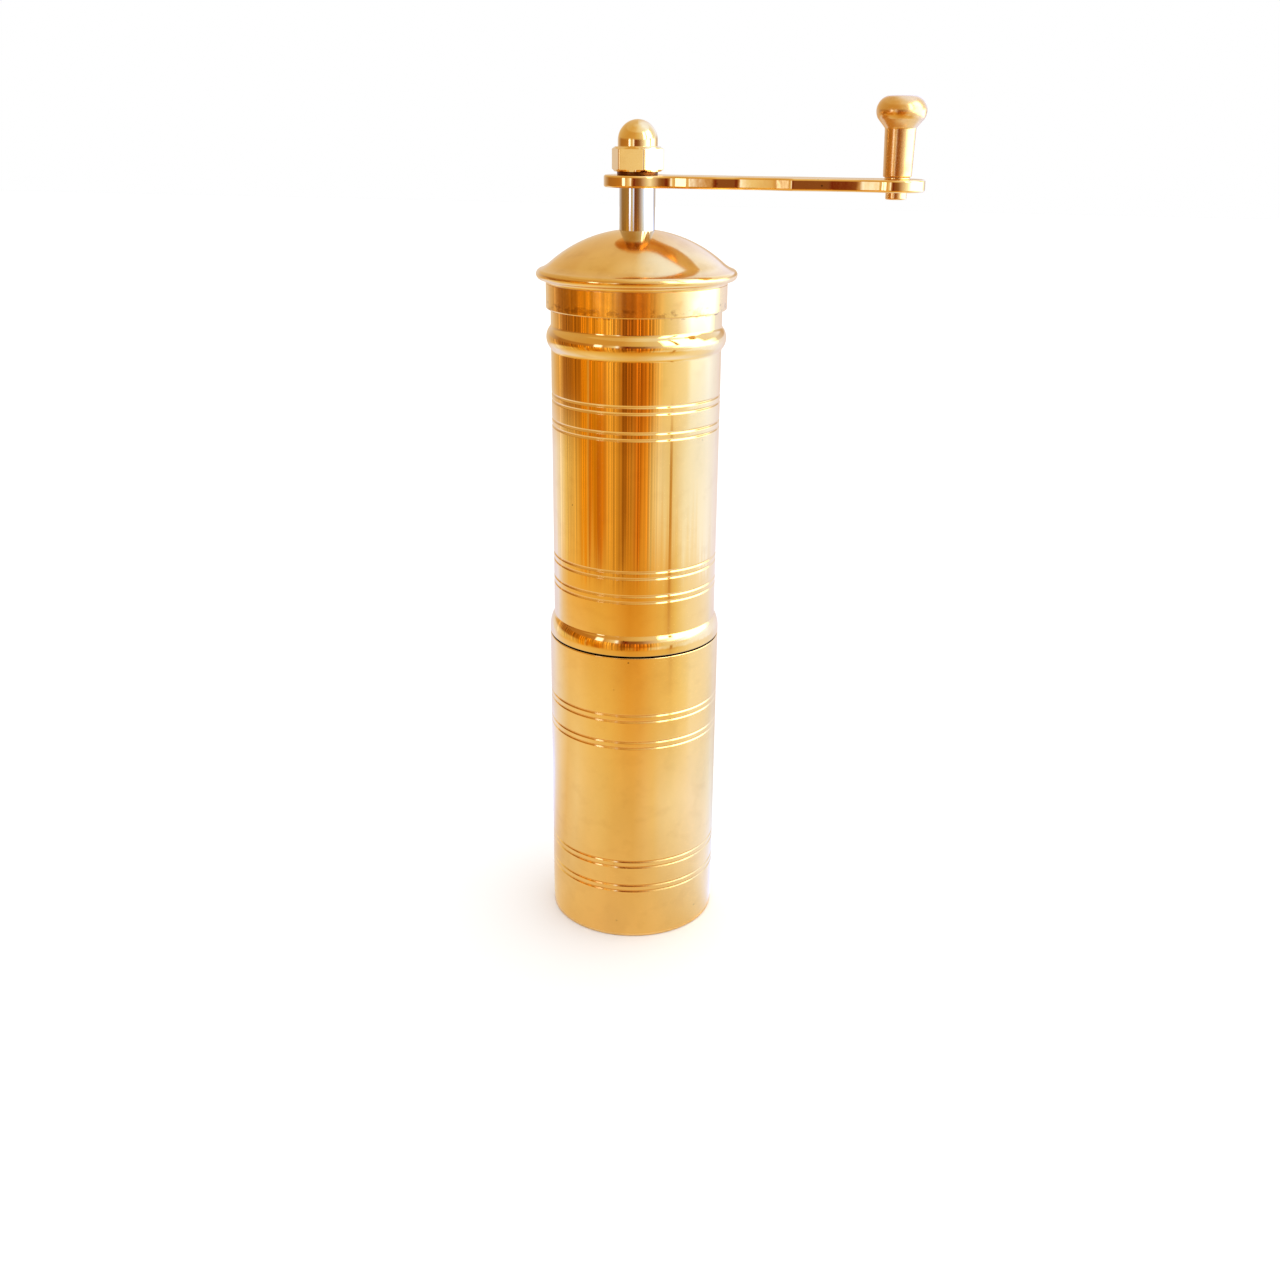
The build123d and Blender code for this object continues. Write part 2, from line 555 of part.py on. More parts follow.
with BuildPart() as inner_burr:
    with BuildSketch(Plane.XZ):
        with BuildLine():
            Polyline(
                (SHAFT_RADIUS, burr_bottom),
                (GRIND_RADIUS - GRIND_GAP, burr_bottom),
                (GRIND_RADIUS - GRIND_GAP, ring_bottom),
                (THROAT_RADIUS - GRIND_GAP, grind_top),
                (BURR_TOP_RADIUS, burr_top),
                (SHAFT_RADIUS, burr_top),
                close=True,
            )
        make_face()
    revolve(axis=Axis.Z)
    # fine teeth on the grinding cone
    fine_start = Vector(THROAT_RADIUS - GRIND_GAP, 0, grind_top)
    fine_plane = Plane(origin=fine_start, x_dir=(0, 1, 0), z_dir=slope)
    with BuildSketch(fine_plane.offset(-BURR_FINE_DEPTH)):
        Rectangle(2 * BURR_FINE_DEPTH, 2 * BURR_FINE_DEPTH, rotation=45)
    fine_length = sqrt(grind_run**2 + GRIND_HEIGHT**2) + 4 * BURR_FINE_DEPTH
    fine_cutter = extrude(amount=fine_length, mode=Mode.PRIVATE)
    with PolarLocations(0, BURR_FINE_TEETH):
        add(fine_cutter, mode=Mode.SUBTRACT)
    # coarse flutes that draw the peppercorns down
    flute_foot = Vector(THROAT_RADIUS - GRIND_GAP, 0, grind_top)
    flute_head = Vector(BURR_TOP_RADIUS, 0, burr_top)
    flute_run = flute_head - flute_foot
    with BuildSketch(Plane(origin=flute_foot, x_dir=(0, 1, 0), z_dir=flute_run)):
        Circle(BURR_FLUTE_RADIUS)
    flute_cutter = extrude(amount=flute_run.length + BURR_FLUTE_RADIUS, mode=Mode.PRIVATE)
    with PolarLocations(0, BURR_FLUTES):
        add(flute_cutter, mode=Mode.SUBTRACT)
    with BuildSketch(Plane.XZ.offset(-BURR_PIN_LENGTH)):
        with Locations((0, burr_pin_height)):
            Circle(BURR_PIN_RADIUS)
    extrude(amount=2 * BURR_PIN_LENGTH, mode=Mode.SUBTRACT)
inner_burr.part.label = "inner_burr"
export_step(inner_burr.part, "parts/inner_burr.step")

with BuildPart() as burr_pin:
    with BuildSketch(Plane.XZ.offset(-BURR_PIN_LENGTH / 2)):
        with Locations((0, burr_pin_height)):
            Circle(BURR_PIN_RADIUS)
    extrude(amount=BURR_PIN_LENGTH)
burr_pin.part.label = "burr_pin"
export_step(burr_pin.part, "parts/burr_pin.step")

with BuildPart() as spring_collar:
    with BuildSketch(Plane.XY.offset(clip_top)):
        Circle(COLLAR_RADIUS)
        Circle(SHAFT_RADIUS + RUNNING, mode=Mode.SUBTRACT)
    extrude(amount=COLLAR_THICKNESS)
spring_collar.part.label = "spring_collar"
export_step(spring_collar.part, "parts/spring_collar.step")

with BuildPart() as collar_clip:
    with BuildSketch(Plane.XY.offset(clip_bottom)):
        Circle(CLIP_RADIUS)
        Circle(SHAFT_RADIUS - CLIP_GROOVE, mode=Mode.SUBTRACT)
        with Locations((CLIP_RADIUS, 0)):
            Rectangle(2 * CLIP_RADIUS, CLIP_MOUTH, mode=Mode.SUBTRACT)
    extrude(amount=CLIP_THICKNESS)
collar_clip.part.label = "collar_clip"
export_step(collar_clip.part, "parts/collar_clip.step")

with BuildPart() as shaft_sleeve:
    with BuildSketch(Plane.XY.offset(bush_top + SLEEVE_ABOVE_BUSH)):
        Circle(SLEEVE_RADIUS)
        Circle(SHAFT_RADIUS, mode=Mode.SUBTRACT)
    extrude(amount=arm_bottom - bush_top - SLEEVE_ABOVE_BUSH)
shaft_sleeve.part.label = "shaft_sleeve"
export_step(shaft_sleeve.part, "parts/shaft_sleeve.step")

with BuildPart() as crank_arm:
    with BuildSketch(Plane.XY.offset(arm_bottom)) as arm_outline:
        Circle(HUB_RADIUS)
        with BuildLine():
            neck = Vector(CRANK_RADIUS - NECK_FROM_KNOB, ARM_NECK_HALF)
            swell = Vector(neck.X - SWELL_FROM_NECK, ARM_SWELL_HALF)
            waist = Vector(swell.X - WAIST_FROM_SWELL, ARM_WAIST_HALF)
            root = Vector(0, ARM_ROOT_HALF)
            tip = Vector(CRANK_RADIUS, ARM_TIP_HALF)
            Line(root, waist)
            TangentArc(waist, swell, tangent=waist - root)
            Line(swell, neck)
            TangentArc(neck, tip, tangent=neck - swell)
            Polyline(tip, (CRANK_RADIUS, 0), (0, 0), root)
        make_face()
        mirror(about=Plane.XZ)
        with Locations((CRANK_RADIUS, 0)):
            Circle(ARM_END_RADIUS)
        # round the corners where the bar leaves the hub, at the swell and at the round end
        hub_corners = (0, HUB_RADIUS, HUB_BLEND)
        swell_corners = (swell.X, SWELL_ROUND, SWELL_ROUND)
        end_corners = (CRANK_RADIUS, ARM_END_RADIUS, END_BLEND)
        for place, reach, radius in (hub_corners, swell_corners, end_corners):
            near = [v for v in arm_outline.vertices() if abs(v.X - place) < reach]
            fillet(near, radius=radius)
    extrude(amount=ARM_THICKNESS)
    flat_ends = crank_arm.faces().filter_by(Axis.Z)
    fillet(flat_ends.edges(), radius=ARM_EDGE)
    with BuildSketch(Plane.XY.offset(arm_bottom)):
        Circle(SHAFT_RADIUS)
        Rectangle(3 * SHAFT_RADIUS, SHAFT_FLATS, mode=Mode.INTERSECT)
        with Locations((CRANK_RADIUS, 0)):
            Circle(PIN_SEAT_RADIUS)
    extrude(amount=ARM_THICKNESS, mode=Mode.SUBTRACT)
crank_arm.part.label = "crank_arm"
export_step(crank_arm.part, "parts/crank_arm.step")

with BuildPart() as nut_washer:
    with BuildSketch(Plane.XY.offset(arm_top)):
        Circle(WASHER_RADIUS)
        Circle(SHAFT_RADIUS + RUNNING, mode=Mode.SUBTRACT)
    extrude(amount=WASHER_THICKNESS)
nut_washer.part.label = "nut_washer"
export_step(nut_washer.part, "parts/nut_washer.step")

with BuildPart() as cap_nut:
    corner_radius = NUT_FLATS / sqrt(3)
    with BuildSketch(Plane.XY.offset(nut_bottom)):
        RegularPolygon(NUT_FLATS / 2, 6, major_radius=False)
    extrude(amount=NUT_HEIGHT)
    # a turned envelope takes the sharp corners off both ends
    with BuildSketch(Plane.XZ):
        with BuildLine():
            land = NUT_FLATS / 2
            Polyline(
                (0, nut_bottom),
                (land, nut_bottom),
                (corner_radius, nut_bottom + NUT_CHAMFER),
                (corner_radius, nut_top - NUT_CHAMFER),
                (land, nut_top),
                (0, nut_top),
                close=True,
            )
        make_face()
    revolve(axis=Axis.Z, mode=Mode.INTERSECT)
    with BuildSketch(Plane.XZ):
        with BuildLine():
            dome_start = nut_top + NUT_DOME_BASE
            Polyline((0, nut_bottom + NUT_HEIGHT / 2), (0, dome_start + NUT_DOME_RADIUS))
            RadiusArc(
                (0, dome_start + NUT_DOME_RADIUS), (NUT_DOME_RADIUS, dome_start), NUT_DOME_RADIUS
            )
            Polyline(
                (NUT_DOME_RADIUS, dome_start),
                (NUT_DOME_RADIUS, nut_bottom + NUT_HEIGHT / 2),
                (0, nut_bottom + NUT_HEIGHT / 2),
            )
        make_face()
    revolve(axis=Axis.Z)
    with BuildSketch(Plane.XY.offset(nut_bottom)):
        Circle(SHAFT_RADIUS)
    extrude(amount=THREAD_REACH + THREAD_ROOM, mode=Mode.SUBTRACT)
cap_nut.part.label = "cap_nut"
export_step(cap_nut.part, "parts/cap_nut.step")

# The knob turns on a pin that is riveted into the arm's end
with BuildPart() as knob_pin:
    with Locations((CRANK_RADIUS, 0, arm_bottom - PIN_FOOT)):
        Cylinder(PIN_FOOT_RADIUS, PIN_FOOT, align=(Align.CENTER, Align.CENTER, Align.MIN))
    fillet(knob_pin.edges().sort_by(Axis.Z)[0], radius=PIN_FOOT_EDGE)
    with BuildSketch(Plane.XY.offset(arm_bottom)):
        with Locations((CRANK_RADIUS, 0)):
            Circle(PIN_SEAT_RADIUS)
    extrude(amount=ARM_THICKNESS)
    with BuildSketch(Plane.XY.offset(arm_top)):
        with Locations((CRANK_RADIUS, 0)):
            Circle(PIN_RADIUS)
    extrude(amount=pin_head_bottom - arm_top)
    with BuildSketch(Plane.XY.offset(pin_head_bottom)):
        with Locations((CRANK_RADIUS, 0)):
            Circle(PIN_HEAD_RADIUS)
    extrude(amount=PIN_HEAD)
knob_pin.part.label = "knob_pin"
export_step(knob_pin.part, "parts/knob_pin.step")

with BuildPart() as knob_washer:
    with BuildSketch(Plane.XY.offset(arm_top)):
        with Locations((CRANK_RADIUS, 0)):
            Circle(KNOB_WASHER_RADIUS)
            Circle(PIN_RADIUS + RUNNING, mode=Mode.SUBTRACT)
    extrude(amount=KNOB_WASHER)
knob_washer.part.label = "knob_washer"
export_step(knob_washer.part, "parts/knob_washer.step")

with BuildPart() as knob_grip:
    with BuildSketch(Plane.XZ):
        with BuildLine():
            stem_top = (CRANK_RADIUS + STEM_TOP_RADIUS, knob_bottom + STEM_HEIGHT)
            flare_end = (
                CRANK_RADIUS + FLARE_END_RADIUS,
                knob_bottom + STEM_HEIGHT + FLARE_HEIGHT,
            )
            widest = (CRANK_RADIUS + HEAD_RADIUS, knob_bottom + HEAD_WIDEST)
            top_edge = (CRANK_RADIUS + HEAD_TOP_RADIUS, knob_top)
            Polyline(
                (CRANK_RADIUS + PIN_RADIUS + RUNNING, knob_bottom),
                (CRANK_RADIUS + STEM_FOOT_RADIUS, knob_bottom),
                stem_top,
                flare_end,
            )
            ThreePointArc(flare_end, widest, top_edge)
            Polyline(
                top_edge,
                (CRANK_RADIUS + KNOB_WELL_RADIUS, knob_top),
                (CRANK_RADIUS + KNOB_WELL_RADIUS, well_floor),
                (CRANK_RADIUS + PIN_RADIUS + RUNNING, well_floor),
                (CRANK_RADIUS + PIN_RADIUS + RUNNING, knob_bottom),
            )
        make_face()
    revolve(axis=Axis((CRANK_RADIUS, 0, 0), (0, 0, 1)))
knob_grip.part.label = "knob_grip"
export_step(knob_grip.part, "parts/knob_grip.step")

with BuildPart() as knob_cap:
    with BuildSketch(Plane.XY.offset(knob_top - KNOB_CAP)):
        with Locations((CRANK_RADIUS, 0)):
            Circle(KNOB_WELL_RADIUS)
    extrude(amount=KNOB_CAP)
knob_cap.part.label = "knob_cap"
export_step(knob_cap.part, "parts/knob_cap.step")
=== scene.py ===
# %% [markdown]
# # A hand-cranked brass pepper mill
# The mill is a stack of turned brass tubes with a domed lid, a steel sleeve, a flat crank
# arm and a small turned knob. The mechanical model is loaded first and never changes: its
# boxes say where every piece belongs. Nearly everything that shows is round and polished,
# and a mirror finish shows every facet, so the visible pieces are drawn again here as
# finely sampled surfaces. The pieces inside keep their mechanical meshes.

# %% Load the frame
from math import atan2, cos, degrees, pi, radians, sin, sqrt

import bpy
import numpy as np
from mathutils import Matrix, Vector
from mathutils.geometry import tessellate_polygon


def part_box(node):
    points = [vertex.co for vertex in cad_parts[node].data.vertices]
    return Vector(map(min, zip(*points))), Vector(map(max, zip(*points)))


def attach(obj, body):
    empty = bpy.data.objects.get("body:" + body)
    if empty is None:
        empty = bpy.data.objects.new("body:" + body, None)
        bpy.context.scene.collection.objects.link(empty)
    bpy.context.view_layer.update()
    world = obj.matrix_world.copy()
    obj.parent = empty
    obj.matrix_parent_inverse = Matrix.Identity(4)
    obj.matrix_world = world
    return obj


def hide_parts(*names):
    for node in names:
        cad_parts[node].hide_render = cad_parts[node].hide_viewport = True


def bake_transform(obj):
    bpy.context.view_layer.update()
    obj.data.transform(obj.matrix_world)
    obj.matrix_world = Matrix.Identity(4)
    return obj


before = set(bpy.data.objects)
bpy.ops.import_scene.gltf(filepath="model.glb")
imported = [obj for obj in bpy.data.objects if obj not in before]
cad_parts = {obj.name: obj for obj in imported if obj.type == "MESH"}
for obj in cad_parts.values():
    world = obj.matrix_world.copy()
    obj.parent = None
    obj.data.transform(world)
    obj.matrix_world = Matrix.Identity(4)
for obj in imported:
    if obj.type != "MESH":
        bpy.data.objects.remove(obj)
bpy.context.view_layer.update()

MM = 0.001  # every size below is in millimetres, and meshes are in metres
scene = bpy.context.scene
print("nodes in the frame:", len(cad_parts))

# %% [markdown]
# ## Where the camera stands
# The camera looks slightly down on the mill from close by, so the lid's dome and the foot
# both show. The crank arm lies along +X, and the camera stands fifteen degrees round from
# the front, which turns the knob a little towards it.

# %% Camera
CAMERA_TURN = radians(15)       # round from the front, towards the knob
CAMERA_REACH = 313.8            # level distance from the mill's axis
CAMERA_HEIGHT = 187.2
CAMERA_PITCH = radians(20.464)  # downwards
CAMERA_ROLL = radians(0.42)
CAMERA_LENS = 39.083
CAMERA_SHIFT = 0.00463

to_camera = Vector((sin(CAMERA_TURN), -cos(CAMERA_TURN), 0))
across = Vector((cos(CAMERA_TURN), sin(CAMERA_TURN), 0))
look = -to_camera * cos(CAMERA_PITCH) - Vector((0, 0, 1)) * sin(CAMERA_PITCH)
upward = across.cross(look)
camera_x = across * cos(CAMERA_ROLL) + upward * sin(CAMERA_ROLL)
camera_y = upward * cos(CAMERA_ROLL) - across * sin(CAMERA_ROLL)
camera_data = bpy.data.cameras.new("camera")
camera_data.lens = CAMERA_LENS
camera_data.shift_x = CAMERA_SHIFT
camera_data.clip_start = 0.01
camera = bpy.data.objects.new("camera", camera_data)
turn = Matrix((camera_x, camera_y, -look)).transposed().to_4x4()
place = to_camera * CAMERA_REACH * MM + Vector((0, 0, CAMERA_HEIGHT * MM))
camera.matrix_world = Matrix.Translation(place) @ turn
scene.collection.objects.link(camera)
scene.camera = camera
print("camera stands at", [round(value, 3) for value in place])

# %% [markdown]
# ## Two small helpers for materials
# Colours are written as everyday hex codes, and one function turns them into the linear
# values that a renderer adds and multiplies. The other helper adds a node,
# sets what it is given, and links whatever it is given as another node's output.

# %% Colour and node helpers
def linear(code, alpha=1.0):
    """A hex colour as linear light: each channel follows the standard sRGB curve."""
    parts = [int(code[i : i + 2], 16) / 255 for i in (1, 3, 5)]
    curve = [p / 12.92 if p <= 0.04045 else ((p + 0.055) / 1.055) ** 2.4 for p in parts]
    return (*curve, alpha)


def add(tree, kind, inputs=(), **settings):
    """A node of that kind, with its settings, its input values and its links."""
    made = tree.nodes.new("ShaderNode" + kind)
    for name, value in settings.items():
        setattr(made, name, value)
    for name, value in dict(inputs).items():
        if isinstance(value, bpy.types.NodeSocket):
            tree.links.new(value, made.inputs[name])
        else:
            made.inputs[name].default_value = value
    return made


def new_tree(name):
    """An empty node tree of a new material, and the material."""
    material = bpy.data.materials.new(name)
    material.use_nodes = True
    material.node_tree.nodes.clear()
    return material, material.node_tree


def ramp(tree, factor, stops, interpolation="LINEAR"):
    """A colour ramp through (place, colour) stops."""
    made = add(tree, "ValToRGB", {"Fac": factor})
    made.color_ramp.interpolation = interpolation
    points = made.color_ramp.elements
    while len(points) < len(stops):
        points.new(0.5)
    for point, (where, colour) in zip(points, sorted(stops, key=lambda stop: stop[0])):
        point.position = where
        point.color = colour
    return made.outputs["Color"]


# %% [markdown]
# ## The table and the light
# The mill stands on a plain white table in a bright room. Polished metal has hardly any
# look of its own: what it shows is the room. Three things are seen in it. The white table
# fills the lower half. A warm, dim room with furniture and the person behind the camera
# makes the brown and orange stripes in the upper half. A bright window on the right makes
# the blown-out streak. The room is an upright, striped screen that only reflections see.

# %% White table and white surroundings
world = bpy.data.worlds.new("white_room")
world.use_nodes = True
world.node_tree.nodes["Background"].inputs["Color"].default_value = (1, 1, 1, 1)
world.node_tree.nodes["Background"].inputs["Strength"].default_value = 1.0
scene.world = world
scene.view_settings.view_transform = "Standard"

TABLE_HALF = 3000
table_mesh = bpy.data.meshes.new("table")
corners = np.array([(-1, -1, 0), (1, -1, 0), (1, 1, 0), (-1, 1, 0)]) * TABLE_HALF * MM
table_mesh.from_pydata(corners.tolist(), [], [(0, 1, 2, 3)])
table = bpy.data.objects.new("table", table_mesh)
scene.collection.objects.link(table)
material, tree = new_tree("white_table")
paint = add(tree, "BsdfPrincipled", {"Base Color": linear("#f7f7f7"), "Roughness": 0.6})
add(tree, "OutputMaterial", {"Surface": paint.outputs["BSDF"]})
table_mesh.materials.append(material)


# %% Soft light from above
sun = bpy.data.lights.new("skylight", "SUN")
sun.energy = 1.0
sun.angle = radians(90)
skylight = bpy.data.objects.new("skylight", sun)
skylight.rotation_euler = (radians(-12), radians(18), 0)
skylight.visible_glossy = False
scene.collection.objects.link(skylight)

# %% [markdown]
# The room is a closed shell that only mirror reflections see, so the floor and the light on
# it stay plain. It starts on the table round the mill's foot, climbs a round wall, and
# closes over the top. Rings of the shell carry colours by bearing: zero points at the
# camera, and negative bearings lie to its left. Each colour is written as what polished
# brass looks like under it, so the light there is that colour over the brass's own colour.
# A stripe may have a third value, a gain. BRASS itself with a gain is plain white light,
# many times overexposed: that is the window on the right.

# %% Stripes on the table
BRASS = "#efc47c"
WINDOW = 5.0  # gain of the window's light
TABLE_NEAR = (
    (-180, "#dba75c"), (-150, "#d6a35c"), (-125, "#d9a35c"), (-95, "#dfad61"), (-60, "#dfa959"),
    (-20, "#dea557"), (10, "#e1aa58"), (40, "#e6b468"), (72, "#efc98c"), (90, "#f5d8a8"),
    (115, "#f3d8a8"), (140, "#e2c088"), (160, "#d8aa66"), (180, "#d8a458"),
)
TABLE_BESIDE = (
    (-180, "#dba75c"), (-160, "#dfb47a"), (-145, "#ebd3ac"), (-130, "#e9c894"), (-112, "#e7bc7a"),
    (-98, "#e5b265"), (-78, "#eec279"), (-60, "#ebba6a"), (-40, "#e8b660"), (-25, "#e5ad53"),
    (0, "#e2a84e"), (15, "#e6b363"), (25, "#e8b968"), (35, "#ecc581"), (50, "#f0cd8d"),
    (70, "#f3d39e"), (80, "#f4d6a6"), (100, "#f1d5a4"), (130, "#ead29a"), (145, "#dcb978"),
    (155, "#d4a868"), (180, "#dba75c"),
)
TABLE_MIDDLE = (
    (-180, "#dba860"), (-155, "#dfb47a"), (-130, "#eac78f"), (-115, "#eac588"), (-95, "#e8b765"),
    (-78, "#ebba66"), (-55, "#e8b152"), (-30, "#e4a845"), (-8, "#df9732"), (8, "#e09936"),
    (25, "#e7ab4a"), (50, "#edba5b"), (72, "#f1c672"), (80, "#f4d18e"), (112, "#efcd8e"),
    (135, "#e5c68e"), (155, "#dcac6a"), (180, "#dba75c"),
)
TABLE_FAR = (
    (-180, "#dfad68"), (-155, "#e3bb82"), (-135, "#e9cfa8"), (-118, "#e8b468"), (-105, "#e6a442"),
    (-75, "#e49b30"), (-45, "#e39b30"), (-25, "#dc8e26"), (-6, "#d07d17"), (8, "#d98920"),
    (25, "#e69d33"), (39, "#e9a941"), (45, "#e09a36"), (48, "#c9802c"), (52, "#e0a040"),
    (58, "#eab553"), (72, "#f2cb81"), (112, "#f4d7a4"), (135, "#ecd2a4"), (155, "#e8c28a"),
    (180, "#e2b06a"),
)
print("stripes nearest the mill:", len(TABLE_NEAR))

# %% Stripes on the wall
WALL_LOW = (
    (-180, "#dfa95c"), (-155, "#e2b87c"), (-138, "#ebc98f"), (-122, "#edc785"), (-108, "#e9b455"),
    (-84, "#e39c34"), (-76, "#da8313"), (-69, "#dc7d0a"), (-66, "#e8982e"), (-64, "#bd6109"),
    (-56, "#d97a08"), (-50, "#b25809"), (-43, "#c96b09"), (-35, "#dd8f27"), (-24, "#d58620"),
    (-16, "#a2560b"), (-10, "#b66510"), (-4, "#ca7a1d"), (4, "#b65908"), (9, "#d37410"),
    (16, "#df8a22"), (21, "#e7b055"), (34, "#f0ca85"), (46, "#eec475"), (47, "#c5822e"),
    (49.5, "#c5822e"), (51, "#ecc172"), (70, "#f7dea8"), (90, "#f9e6bd"), (115, "#fae8c3"),
    (135, "#f0d8ac"), (155, "#e6bd80"), (180, "#dfa95c"),
)
WALL_MIDDLE = (
    (-180, "#d89a4a"), (-150, "#dba85e"), (-128, "#dc983c"), (-118, "#cf8a34"), (-111, "#a25c1a"),
    (-90, "#b05d0a"), (-78, "#b45f09"), (-72, "#cf7006"), (-67, "#dd7d0a"), (-65, "#f0a53a"),
    (-63, "#bf5f04"), (-55, "#dc7e0c"), (-46, "#c4690a"), (-34, "#de9027"), (-23, "#d6831e"),
    (-17, "#964a08"), (-8, "#9b4b06"), (0, "#b45a0a"), (9, "#a75006"), (14, "#c2650c"),
    (21, "#d17b17"), (27, "#e29e3e"), (37, "#eaba61"), (55, "#f2c97c"), (70, "#f7d58f"),
    (78, "#fce9bc"), (112, "#fef2d3"), (135, "#f0d6a6"), (155, "#e2b676"), (180, "#d89a4a"),
)
WALL_LEVEL = (
    (-180, "#d8a45c"), (-150, "#d8ab6a"), (-124, "#b98243"), (-112, "#a9651f"), (-66, "#b46a1b"),
    (-54, "#bd7428"), (-51, "#ffe2a8", 1.9), (-44, "#ffe2a8", 1.9), (-41, "#c9873c"),
    (-36, "#d99c48"), (-27, "#ecc070"), (-23, "#f8e4ba", 1.2), (-20, "#cc8c42"), (-16, "#8f4a18"),
    (-11, "#701c05"), (-6, "#85451a"), (0, "#874716"), (10, "#99602a"), (20, "#c8935a"),
    (32, "#e6c07c"), (44, "#f0d49a", 1.3), (56, BRASS, WINDOW), (104, BRASS, WINDOW),
    (122, "#e6c68e"), (150, "#c9924c"), (180, "#d8a45c"),
)
WALL_SKIRT = (
    (-180, "#d89a4a"), (-150, "#dba85e"), (-128, "#cf9040"), (-111, "#a25c1a"), (-90, "#b05d0a"),
    (-78, "#b45f09"), (-67, "#d2740b"), (-55, "#da7f12"), (-46, "#d8861c"), (-34, "#dc8e28"),
    (-23, "#d28022"), (-17, "#a8560f"), (-8, "#a5500b"), (0, "#b45a0a"), (9, "#b45c0c"),
    (14, "#c9700f"), (21, "#da8a26"), (27, "#e29e3e"), (37, "#eaba61"), (55, "#f4d091"),
    (68, "#fbecc9", 1.2), (76, BRASS, WINDOW), (110, BRASS, WINDOW), (126, "#f3dcae"),
    (155, "#e2b676"), (180, "#d89a4a"),
)
WALL_UPPER = (
    (-180, "#dca85c"), (-110, "#cf9440"), (-60, "#cd8a2f"), (-20, "#d08c34"), (5, "#dda64c"),
    (32, "#ebc27a"), (37, BRASS, WINDOW), (49, BRASS, WINDOW), (51, "#c98a3c"), (54, "#c98a3c"),
    (57, BRASS, WINDOW), (92, BRASS, WINDOW), (97, "#f0cd8a"), (150, "#f4dcae"),
    (180, "#dca85c"),
)
WALL_HIGH = (
    (-180, "#dca85c"), (-110, "#d8a24e"), (-60, "#d99c42"), (-20, "#dfa650"), (5, "#eabf74"),
    (30, "#f0cd8a"), (60, "#f6dca8"), (90, "#fbe8c2"), (150, "#f6e0b6"), (180, "#e2b66e"),
)
ZENITH = ((-180, "#eabf76"), (180, "#eabf76"))
print("stripes at eye level:", len(WALL_LEVEL))

# %% Rings of the room
ROOM_GAIN = 1.06       # makes up for what the smudges take
ROOM_RADIUS = 285
TABLE_SKIN = 0.4       # the shell floats this far above the table
FURNITURE_FOOT = 26    # how high the dark things start, on average
FURNITURE_WANDER = 16  # and how much that varies
ROOM = (  # radius, height, colours
    (20.5, TABLE_SKIN, TABLE_NEAR), (85, TABLE_SKIN, TABLE_BESIDE),
    (150, TABLE_SKIN, TABLE_MIDDLE), (ROOM_RADIUS, TABLE_SKIN, TABLE_FAR),
    (ROOM_RADIUS, FURNITURE_FOOT, WALL_LOW), (ROOM_RADIUS, 56, WALL_LOW),
    (ROOM_RADIUS, 82, WALL_MIDDLE), (ROOM_RADIUS, 100, WALL_MIDDLE),
    (ROOM_RADIUS, 112, WALL_SKIRT), (ROOM_RADIUS, 142, WALL_SKIRT),
    (ROOM_RADIUS, 154, WALL_LEVEL), (ROOM_RADIUS, 200, WALL_LEVEL),
    (ROOM_RADIUS, 225, WALL_UPPER), (ROOM_RADIUS, 430, WALL_UPPER),
    (ROOM_RADIUS, 480, WALL_HIGH), (150, 580, WALL_HIGH), (2, 640, ZENITH),
)


def light_by_bearing(stripes, bearings):
    """Light at bearings in degrees: linear blends of the listed colours over the brass's."""
    places = [place for place, *rest in stripes]
    looks = np.array([linear(code)[:3] for place, code, *rest in stripes])
    gains = np.array([rest[0] if rest else 1.0 for place, code, *rest in stripes])
    lights = looks * gains[:, None] / linear(BRASS)[:3] * ROOM_GAIN
    return np.stack([np.interp(bearings, places, lights[:, k]) for k in range(3)], 1)


print("rings of the room:", len(ROOM))

# %% [markdown]
# A real room is never plain stripes. Every degree or so differs a little from its stripe,
# most between waist and head height, and the dark things end at different heights.

# %% Clutter and furniture
STEP = 0.5                      # degrees between the shell's columns
CLUTTER = 0.20                  # spread of the light from one narrow thing to the next
CLUTTER_LOW, CLUTTER_DOUBLED, CLUTTER_HIGH = 20, 95, 150
CLUTTER_SIDE = ((-135, 0), (-115, 1), (15, 1), (40, 0))  # bearing, share
WANDER_WINDOW = 9
bearings = np.linspace(-180, 180, int(360 / STEP) + 1)
turns = np.radians(bearings) + CAMERA_TURN
unit = np.stack([np.sin(turns), -np.cos(turns), 0 * turns], 1)
lights = np.concatenate([light_by_bearing(stripes, bearings) for *place, stripes in ROOM])
narrow = np.random.default_rng(5).normal(0, 1, len(bearings) // 2 + 1)
clutter = narrow.repeat(2)[: len(bearings)]
shaded = np.interp(bearings, *zip(*CLUTTER_SIDE))
ring_heights = np.array([height for radius, height, stripes in ROOM])
level = CLUTTER * (1 + (CLUTTER_DOUBLED < ring_heights))
level = level * (CLUTTER_LOW < ring_heights) * (ring_heights < CLUTTER_HIGH)
lights *= np.exp(level[:, None] * clutter * shaded).reshape(-1, 1)
rough_foot = np.random.default_rng(8).normal(0, 1, len(bearings))
smoothing = np.ones(WANDER_WINDOW) / sqrt(WANDER_WINDOW)
wander = np.convolve(rough_foot, smoothing, "same")
skirting = np.clip(FURNITURE_FOOT + FURNITURE_WANDER * wander, 3, 53)
print("brightest light:", lights.max(0).round(2))

